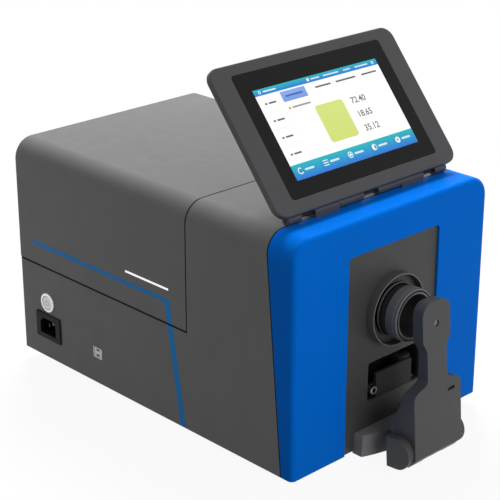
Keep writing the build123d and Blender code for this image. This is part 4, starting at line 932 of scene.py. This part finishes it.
def disc(u, v, radius, color, lift, inner=0.0, start=0.0, turn=360.0, steps=24):
    """A disc, a ring or part of a ring."""
    for i in range(steps):
        a = radians(start + turn * i / steps)
        b = radians(start + turn * (i + 1) / steps)
        outer = [(u + radius * cos(t), v + radius * sin(t)) for t in (a, b)]
        nearer = [(u + inner * cos(t), v + inner * sin(t)) for t in (b, a)]
        corners = outer + (nearer if inner > 0 else [(u, v)])
        patch(corners, [color] * len(corners), lift)


def rounded_block(left, top_v, right, bottom_v, radius, upper, lower, lift, steps=6):
    corners = []
    for cu, cv, start in (
        (right - radius, top_v + radius, 270),
        (right - radius, bottom_v - radius, 0),
        (left + radius, bottom_v - radius, 90),
        (left + radius, top_v + radius, 180),
    ):
        for i in range(steps + 1):
            angle = radians(start + 90 * i / steps)
            corners.append((cu + radius * cos(angle), cv + radius * sin(angle)))
    middle = (top_v + bottom_v) / 2
    patch(corners, [upper if v < middle else lower for _, v in corners], lift)


FIELD, BAR, MARK = 0.01, 0.02, 0.03  # how far each layer stands off the glass


def bar(left, top_v, right, bottom_v, color, radius=0.7):
    """A rounded bar that stands for a word."""
    rounded_block(left, top_v, right, bottom_v, radius, color, color, MARK)


block(0, 0, PICTURE_WIDTH, PICTURE_HEIGHT, WHITE, WHITE, FIELD)
block(0, 0, PICTURE_WIDTH, TOP_BAR, TEAL, SKY, BAR)
bar_top = PICTURE_HEIGHT - BOTTOM_BAR
block(0, bar_top, PICTURE_WIDTH, PICTURE_HEIGHT, TEAL, SKY, BAR)
cell = PICTURE_WIDTH / 5
for i in range(1, 5):
    left, right = cell * i - 0.2, cell * i + 0.2
    block(left, bar_top + 1.0, right, PICTURE_HEIGHT - 1.4, "#4fb6e2", "#3f93e6", MARK)
# five plain icons, each with a short bar beside it
ICON = 3.0  # radius
icon_v = bar_top + BOTTOM_BAR * 0.46
for i in range(5):
    icon_u = cell * i + 8.4
    if i == 0:
        disc(icon_u, icon_v, ICON, WHITE, MARK, inner=2.2, start=30, turn=280)
    elif i == 1:
        for row in (-2.2, 0.0, 2.2):
            low, high = icon_v + row - 0.35, icon_v + row + 0.35
            block(icon_u - ICON, low, icon_u + ICON, high, WHITE, WHITE, MARK)
    elif i == 2:
        disc(icon_u, icon_v, ICON, WHITE, MARK, inner=2.3)
        disc(icon_u, icon_v, 1.3, WHITE, MARK)
    elif i == 3:
        disc(icon_u, icon_v, ICON, WHITE, MARK, start=90, turn=180)
        disc(icon_u, icon_v, ICON, WHITE, MARK, inner=2.4, start=270, turn=180)
    else:
        disc(icon_u, icon_v, 2.6, WHITE, MARK, inner=1.2)
        for tooth in range(8):
            turn = tooth * pi / 4
            tooth_u, tooth_v = icon_u + 2.7 * cos(turn), icon_v + 2.7 * sin(turn)
            disc(tooth_u, tooth_v, 0.55, WHITE, MARK, steps=8)
    bar(icon_u + 5.2, icon_v - 0.9, icon_u + 16.5, icon_v + 0.9, PALE, 0.9)
# top bar marks
for u, inner in ((6.5, 0.9), (65.0, 0.0), (148.5, 0.9)):
    disc(u, 3.0, 1.5, WHITE, MARK, inner=inner)
bar(10.5, 2.3, 26.0, 3.7, PALE)
for left, right in ((68.5, 79.5), (84.0, 104.0), (110.0, 119.0), (125.0, 142.0)):
    bar(left, 2.4, right, 3.6, PALE, 0.6)
# left column with its four cells
COLUMN = 26.0
LINE_HALF = 0.15
block(COLUMN - LINE_HALF, TOP_BAR, COLUMN + LINE_HALF, bar_top, PALE_LINE, PALE_LINE, BAR)
for v in (22.6, 38.4, 54.6):
    block(0.8, v - LINE_HALF, COLUMN, v + LINE_HALF, PALE_LINE, PALE_LINE, BAR)
for v in (14.2, 30.6, 46.8, 62.8):
    for left, right in ((6.5, 9.2), (10.8, 19.6)):
        bar(left, v - 0.8, right, v + 0.8, INK, 0.4)
# tabs, and the row under them
rounded_block(27.6, 7.2, 57.4, 16.9, 0.8, "#86aaec", "#6f98e4", BAR)
bar(32.0, 11.2, 53.0, 12.9, "#3f5fae", 0.8)
for left, right in ((69.0, 88.5), (95.0, 120.5), (128.5, 148.0)):
    bar(left, 10.6, right, 12.2, INK)
rounded_block(29.4, 22.0, 31.8, 24.4, 0.5, "#e8a64f", "#d98a3a", MARK)
bar(33.6, 22.3, 56.0, 24.0, "#9a9ca0")
# the swatch of measured colour
rounded_block(57.2, 27.6, 91.8, 63.6, 3.0, "#d6e37b", "#d2df74", BAR)

# three plain numbers
READOUTS = ((30.2, "72.40"), (43.8, "18.65"), (57.6, "35.12"))
READOUT_LEFT = 101.0
READOUT_SIZE = 8.4
READOUT_DROP = 4.6  # from a readout's v to its baseline
for v, digits in READOUTS:
    curve = bpy.data.curves.new("digits", "FONT")
    curve.body = digits
    curve.size = READOUT_SIZE
    curve.offset = 0.12  # bolder strokes
    text = bpy.data.objects.new("digits", curve)
    bpy.context.scene.collection.objects.link(text)
    evaluated = text.evaluated_get(bpy.context.evaluated_depsgraph_get())
    glyphs = bpy.data.meshes.new_from_object(evaluated)
    for polygon in glyphs.polygons:
        points = [glyphs.vertices[i].co for i in polygon.vertices]
        corners = [(READOUT_LEFT + p.x, v + READOUT_DROP - p.y) for p in points]
        patch(corners, [INK] * len(corners), MARK)
    bpy.data.objects.remove(text)
    bpy.data.curves.remove(curve)
    bpy.data.meshes.remove(glyphs)

picture_mesh = bpy.data.meshes.new("screen_picture")
picture.to_mesh(picture_mesh)
picture.free()
lit, tree, shader = new_material("lit_picture")
attribute = tree.nodes.new("ShaderNodeAttribute")
attribute.attribute_name = "paint"
faint = span(tree, noise(tree, 2600.0, 1.0), 0.0, 0.04)
pixels = blended(tree, faint, attribute.outputs["Color"], (0.9, 0.9, 0.9))
tree.links.new(pixels, shader.inputs["Emission Color"])
shader.inputs["Emission Strength"].default_value = 1.0
shader.inputs["Base Color"].default_value = (0.0, 0.0, 0.0, 1.0)
shader.inputs["Roughness"].default_value = 0.2
shader.inputs["Specular IOR Level"].default_value = 0.2
place("screen_picture", picture_mesh, lit, "screen")

# Fasteners
SCREW_STEPS = 24


def screws(name, places, axis, radius, height, body):
    """Round screw heads with hexagon recesses, seated on points, in one piece."""
    shape = bmesh.new()
    turn = Vector((0, 0, 1)).rotation_difference(Vector(axis)).to_matrix()

    def ring(centre, r, z, hexagon=False):
        made = []
        for i in range(SCREW_STEPS):
            angle = 2 * pi * i / SCREW_STEPS
            reach = r
            if hexagon:
                turned_in = (angle + pi / 6) % (pi / 3) - pi / 6
                reach = r * cos(pi / 6) / cos(turned_in)
            local = Vector((reach * cos(angle), reach * sin(angle), z))
            made.append(shape.verts.new(Vector(centre) + turn @ local))
        return made

    for centre in places:
        rings = [
            ring(centre, radius * 0.9, 0.0),
            ring(centre, radius, height * 0.2),
            ring(centre, radius, height * 0.7),
            ring(centre, radius * 0.86, height),
            ring(centre, radius * 0.56, height, hexagon=True),
            ring(centre, radius * 0.52, height * 0.35, hexagon=True),
        ]
        for lower, upper in zip(rings, rings[1:]):
            for i in range(SCREW_STEPS):
                j = (i + 1) % SCREW_STEPS
                shape.faces.new((lower[i], lower[j], upper[j], upper[i]))
        shape.faces.new(rings[-1])
        shape.faces.new(list(reversed(rings[0])))
    close(name, shape, steel, body, smooth=35)


DOWNWARD, UPWARD, FORWARD = (0.0, 0.0, -1.0), (0.0, 0.0, 1.0), (0.0, -1.0, 0.0)
HINGE_X = [middle + offset for middle in (-75.0, 75.0) for offset in (-13.0, 0.0, 13.0)]
FIXED_LEAF, MOVING_LEAF = (REAR + 1.6, SEAM - 14.7), (REAR + 2.4, SEAM + 14.3)  # y, z
BASE_X, BASE_Y = 112.0, (-146.0, -40.0, 66.0, 200.0)
FOOT_X, FOOT_INSET, FOOT_SCREW_Z = 89.0, 36.0, 5.4
FLANGE_RADIUS, FLANGE_FACE = 58.6, -101.05
COVER_TOP = 169.1
DECK_X, DECK_TOP = 117.0, 106.6
fixed_points = [(x, *FIXED_LEAF) for x in HINGE_X]
moving_points = [(x, *MOVING_LEAF) for x in HINGE_X]
base_points = [(x, y, CASE_LOW) for x in (-BASE_X, BASE_X) for y in BASE_Y]
foot_points = [
    (x, y, FOOT_SCREW_Z)
    for x in (-FOOT_X, FOOT_X)
    for y in (FRONT + FOOT_INSET, REAR - FOOT_INSET)
]
flange_points = [
    (FLANGE_RADIUS * cos(t), FLANGE_FACE, PORT_HEIGHT + FLANGE_RADIUS * sin(t))
    for t in (radians(15 + 30 * i) for i in range(12))
]
cover_points = [(x, y, COVER_TOP) for x in (-60.0, 0.0, 60.0) for y in (68.0, 161.0)]
deck_points = [(x, y, DECK_TOP) for x in (-DECK_X, DECK_X) for y in (0.0, 180.0)]
screws("hinge_screws_fixed", fixed_points, BACKWARD, 2.6, 1.4, "instrument")
screws("hinge_screws_moving", moving_points, BACKWARD, 2.6, 1.4, "hood")
screws("base_screws", base_points, DOWNWARD, 2.8, 1.6, "instrument")
screws("foot_screws", foot_points, DOWNWARD, 3.2, 1.6, "instrument")
screws("sphere_flange_screws", flange_points, FORWARD, 1.9, 1.4, "instrument")
screws("bench_cover_screws", cover_points, UPWARD, 2.2, 1.3, "instrument")
screws("deck_screws", deck_points, UPWARD, 2.6, 1.5, "instrument")

# Power button: flange with a thin groove line, and a plain power mark on the cap
BUTTON_Y, BUTTON_Z = 174.45, 72.5
BUTTON = (0.0, BUTTON_Y, BUTTON_Z)
BEZEL_BORE = 7.25
BEZEL_BODY = 9.3  # radius
BEZEL_BACK = 109.0  # how far left of the middle it ends
CAP_FACE = LEFT - 1.2
MARK_OUTER, MARK_INNER = 2.9, 2.3
bezel = turned(
    "button_flange",
    [
        (126.4, BEZEL_BORE),
        (126.6, BEZEL_BORE + 0.2),
        (126.6, BEZEL_BODY),
        (126.35, 9.75),
        (125.9, 9.95),
        (-LEFT, 9.95),
        (-LEFT, BEZEL_BODY),
        (BEZEL_BACK, BEZEL_BODY),
        (BEZEL_BACK, BEZEL_BORE),
    ],
    BUTTON,
    LEFTWARD,
    bright_ring,
    "instrument",
)
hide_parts("button_bezel")
turned(
    "button_groove_line",
    [(126.0, 6.7), (126.22, 6.75), (126.22, 7.24), (126.0, 7.24)],
    BUTTON,
    LEFTWARD,
    groove_grey,
    "instrument",
)
shape = bmesh.new()
arc = [radians(a) for a in range(125, 416, 10)]
mark = [(BUTTON_Y + MARK_OUTER * cos(t), BUTTON_Z + MARK_OUTER * sin(t)) for t in arc]
mark += [(BUTTON_Y + MARK_INNER * cos(t), BUTTON_Z + MARK_INNER * sin(t)) for t in reversed(arc)]
dash = rounded(BUTTON_Y, BUTTON_Z + 2.2, 0.6, 3.2, 0.25)
for outline in (mark, dash):
    grow(shape, [outline], facing_left(CAP_FACE - PROUD), PROUD)
close("power_mark", shape, mark_grey, "power_button")

# Data socket: its core fills the shell and has two slots
SOCKET_Y, SOCKET_Z = 97.35, 44.4
SLOT_RISE = 2.8
shape = bmesh.new()
core = rounded(SOCKET_Y, SOCKET_Z, 11.6, 9.6, 0.2)
socket_slots = [
    rounded(SOCKET_Y, SOCKET_Z + rise, 5.4, 2.0, 0.4) for rise in (SLOT_RISE, -SLOT_RISE)
]
grow(shape, [core, *socket_slots], facing_left(LEFT + 0.1), 8.0)
core_piece = close("socket_core", shape, socket_grey, "instrument", smooth=25)
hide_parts("socket_tongue")

# Parts on the main board
BOARD_TOP = 33.6
CHIPS = (  # middle and size, seen from above
    (30.0, -60.0, 26.0, 26.0),
    (70.0, -58.0, 16.0, 22.0),
    (20.0, -10.0, 14.0, 20.0),
    (56.0, -8.0, 18.0, 12.0),
    (86.0, 0.0, 10.0, 28.0),
    (34.0, 40.0, 22.0, 14.0),
    (76.0, 52.0, 14.0, 14.0),
)
shape = bmesh.new()
for chip in CHIPS:
    grow(shape, [rounded(*chip, 0.8)], facing_up(BOARD_TOP), 2.2)
close("board_chips", shape, chip_black, "instrument", smooth=25)

# Camera at the photograph's viewing angle
CAMERA_PLACE = (-0.9504, -0.97145, 0.6921)
CAMERA_FORWARD = Vector((0.6430, 0.6685, -0.3737)).normalized()
CAMERA_RIGHT = Vector((0.7210, -0.6930, 0.0009))
camera_data = bpy.data.cameras.new("camera")
camera_data.lens = 111.4
camera_data.sensor_width = 36.0
camera = bpy.data.objects.new("camera", camera_data)
bpy.context.scene.collection.objects.link(camera)
level = (CAMERA_RIGHT - CAMERA_FORWARD * CAMERA_RIGHT.dot(CAMERA_FORWARD)).normalized()
basis = Matrix((level, level.cross(CAMERA_FORWARD), -CAMERA_FORWARD)).transposed().to_4x4()
camera.matrix_world = Matrix.Translation(CAMERA_PLACE) @ basis
bpy.context.scene.camera = camera

# Floor, world and soft lamps
def seen_directly(tree, path):
    """1 for rays from the camera and through or off gloss and glass."""
    first = tree.nodes.new("ShaderNodeMath")
    first.operation = "MAXIMUM"
    tree.links.new(path.outputs["Is Camera Ray"], first.inputs[0])
    tree.links.new(path.outputs["Is Glossy Ray"], first.inputs[1])
    second = tree.nodes.new("ShaderNodeMath")
    second.operation = "MAXIMUM"
    tree.links.new(first.outputs["Value"], second.inputs[0])
    tree.links.new(path.outputs["Is Transmission Ray"], second.inputs[1])
    return second.outputs["Value"]


FLOOR_WIDTH = 12.0  # metres
FLOOR_DROP = 0.2  # from the feet to the floor's top, in millimetres
FLOOR_BOUNCE = 0.15  # its brightness as the object's surfaces see it
FLOOR_SEEN = 0.9
NEAR_WHITE, FAR_WHITE = 0.92, 1.0  # share of plain white near the object and away from it
NEAR, FAR = 0.3, 0.8  # metres
shape = bmesh.new()
grow(
    shape,
    [rounded(0.0, 0.0, FLOOR_WIDTH / MM, FLOOR_WIDTH / MM, 100.0)],
    facing_up(-1.0 - FLOOR_DROP),
    1.0,
)
shape.transform(Matrix.Scale(MM, 4))
bmesh.ops.recalc_face_normals(shape, faces=shape.faces)
floor_mesh = bpy.data.meshes.new("floor")
shape.to_mesh(floor_mesh)
shape.free()
floor = bpy.data.objects.new("floor", floor_mesh)
bpy.context.scene.collection.objects.link(floor)
floor_material = bpy.data.materials.new("floor")
floor_material.use_nodes = True
tree = floor_material.node_tree
tree.nodes.clear()
output = tree.nodes.new("ShaderNodeOutputMaterial")
path = tree.nodes.new("ShaderNodeLightPath")
diffuse = tree.nodes.new("ShaderNodeBsdfDiffuse")
direct = seen_directly(tree, path)
shade = blended(tree, direct, (FLOOR_BOUNCE,) * 3, (FLOOR_SEEN,) * 3)
tree.links.new(shade, diffuse.inputs["Color"])
glow = tree.nodes.new("ShaderNodeEmission")
glow.inputs["Strength"].default_value = 1.0
mix = tree.nodes.new("ShaderNodeMixShader")
share = tree.nodes.new("ShaderNodeMath")
share.operation = "MULTIPLY"
coordinates = tree.nodes.new("ShaderNodeTexCoord")
distance = tree.nodes.new("ShaderNodeVectorMath")
distance.operation = "LENGTH"
tree.links.new(coordinates.outputs["Object"], distance.inputs[0])
far_white = span(tree, distance.outputs["Value"], NEAR_WHITE, FAR_WHITE, NEAR, FAR)
tree.links.new(far_white, share.inputs[1])
tree.links.new(direct, share.inputs[0])
tree.links.new(share.outputs["Value"], mix.inputs["Fac"])
tree.links.new(diffuse.outputs["BSDF"], mix.inputs[1])
tree.links.new(glow.outputs["Emission"], mix.inputs[2])
tree.links.new(mix.outputs["Shader"], output.inputs["Surface"])
floor.data.materials.append(floor_material)

AMBIENT = 0.2  # the world's brightness as the object's surfaces see it
world = bpy.data.worlds.new("studio")
bpy.context.scene.world = world
world.use_nodes = True
tree = world.node_tree
tree.nodes.clear()
output = tree.nodes.new("ShaderNodeOutputWorld")
path = tree.nodes.new("ShaderNodeLightPath")
ambient = tree.nodes.new("ShaderNodeBackground")
ambient.inputs["Color"].default_value = (1.0, 1.0, 1.0, 1.0)
ambient.inputs["Strength"].default_value = AMBIENT
white = tree.nodes.new("ShaderNodeBackground")
white.inputs["Color"].default_value = (1.0, 1.0, 1.0, 1.0)
white.inputs["Strength"].default_value = 1.0
mix = tree.nodes.new("ShaderNodeMixShader")
tree.links.new(seen_directly(tree, path), mix.inputs["Fac"])
tree.links.new(ambient.outputs["Background"], mix.inputs[1])
tree.links.new(white.outputs["Background"], mix.inputs[2])
tree.links.new(mix.outputs["Shader"], output.inputs["Surface"])


def lamp(name, place_m, target, size, energy):
    data = bpy.data.lights.new(name, "AREA")
    data.shape = "RECTANGLE"
    data.size, data.size_y = size
    data.energy = energy
    light = bpy.data.objects.new(name, data)
    bpy.context.scene.collection.objects.link(light)
    light.location = place_m
    light.rotation_euler = (Vector(target) - Vector(place_m)).to_track_quat("-Z", "Y").to_euler()
    light.visible_camera = False
    light.visible_glossy = False


# name, place, target, size in metres, power in watts
lamp("overhead", (0.7, 0.8, 1.45), (0.0, 0.0, 0.15), (0.8, 0.8), 48.0)
lamp("front", (-0.1, -1.7, 0.9), (0.0, -0.1, 0.12), (1.2, 1.0), 15.0)
lamp("left_rear", (-0.75, 0.75, 0.75), (-0.1, 0.15, 0.15), (0.4, 0.4), 2.0)

bpy.context.scene.view_settings.view_transform = "Standard"
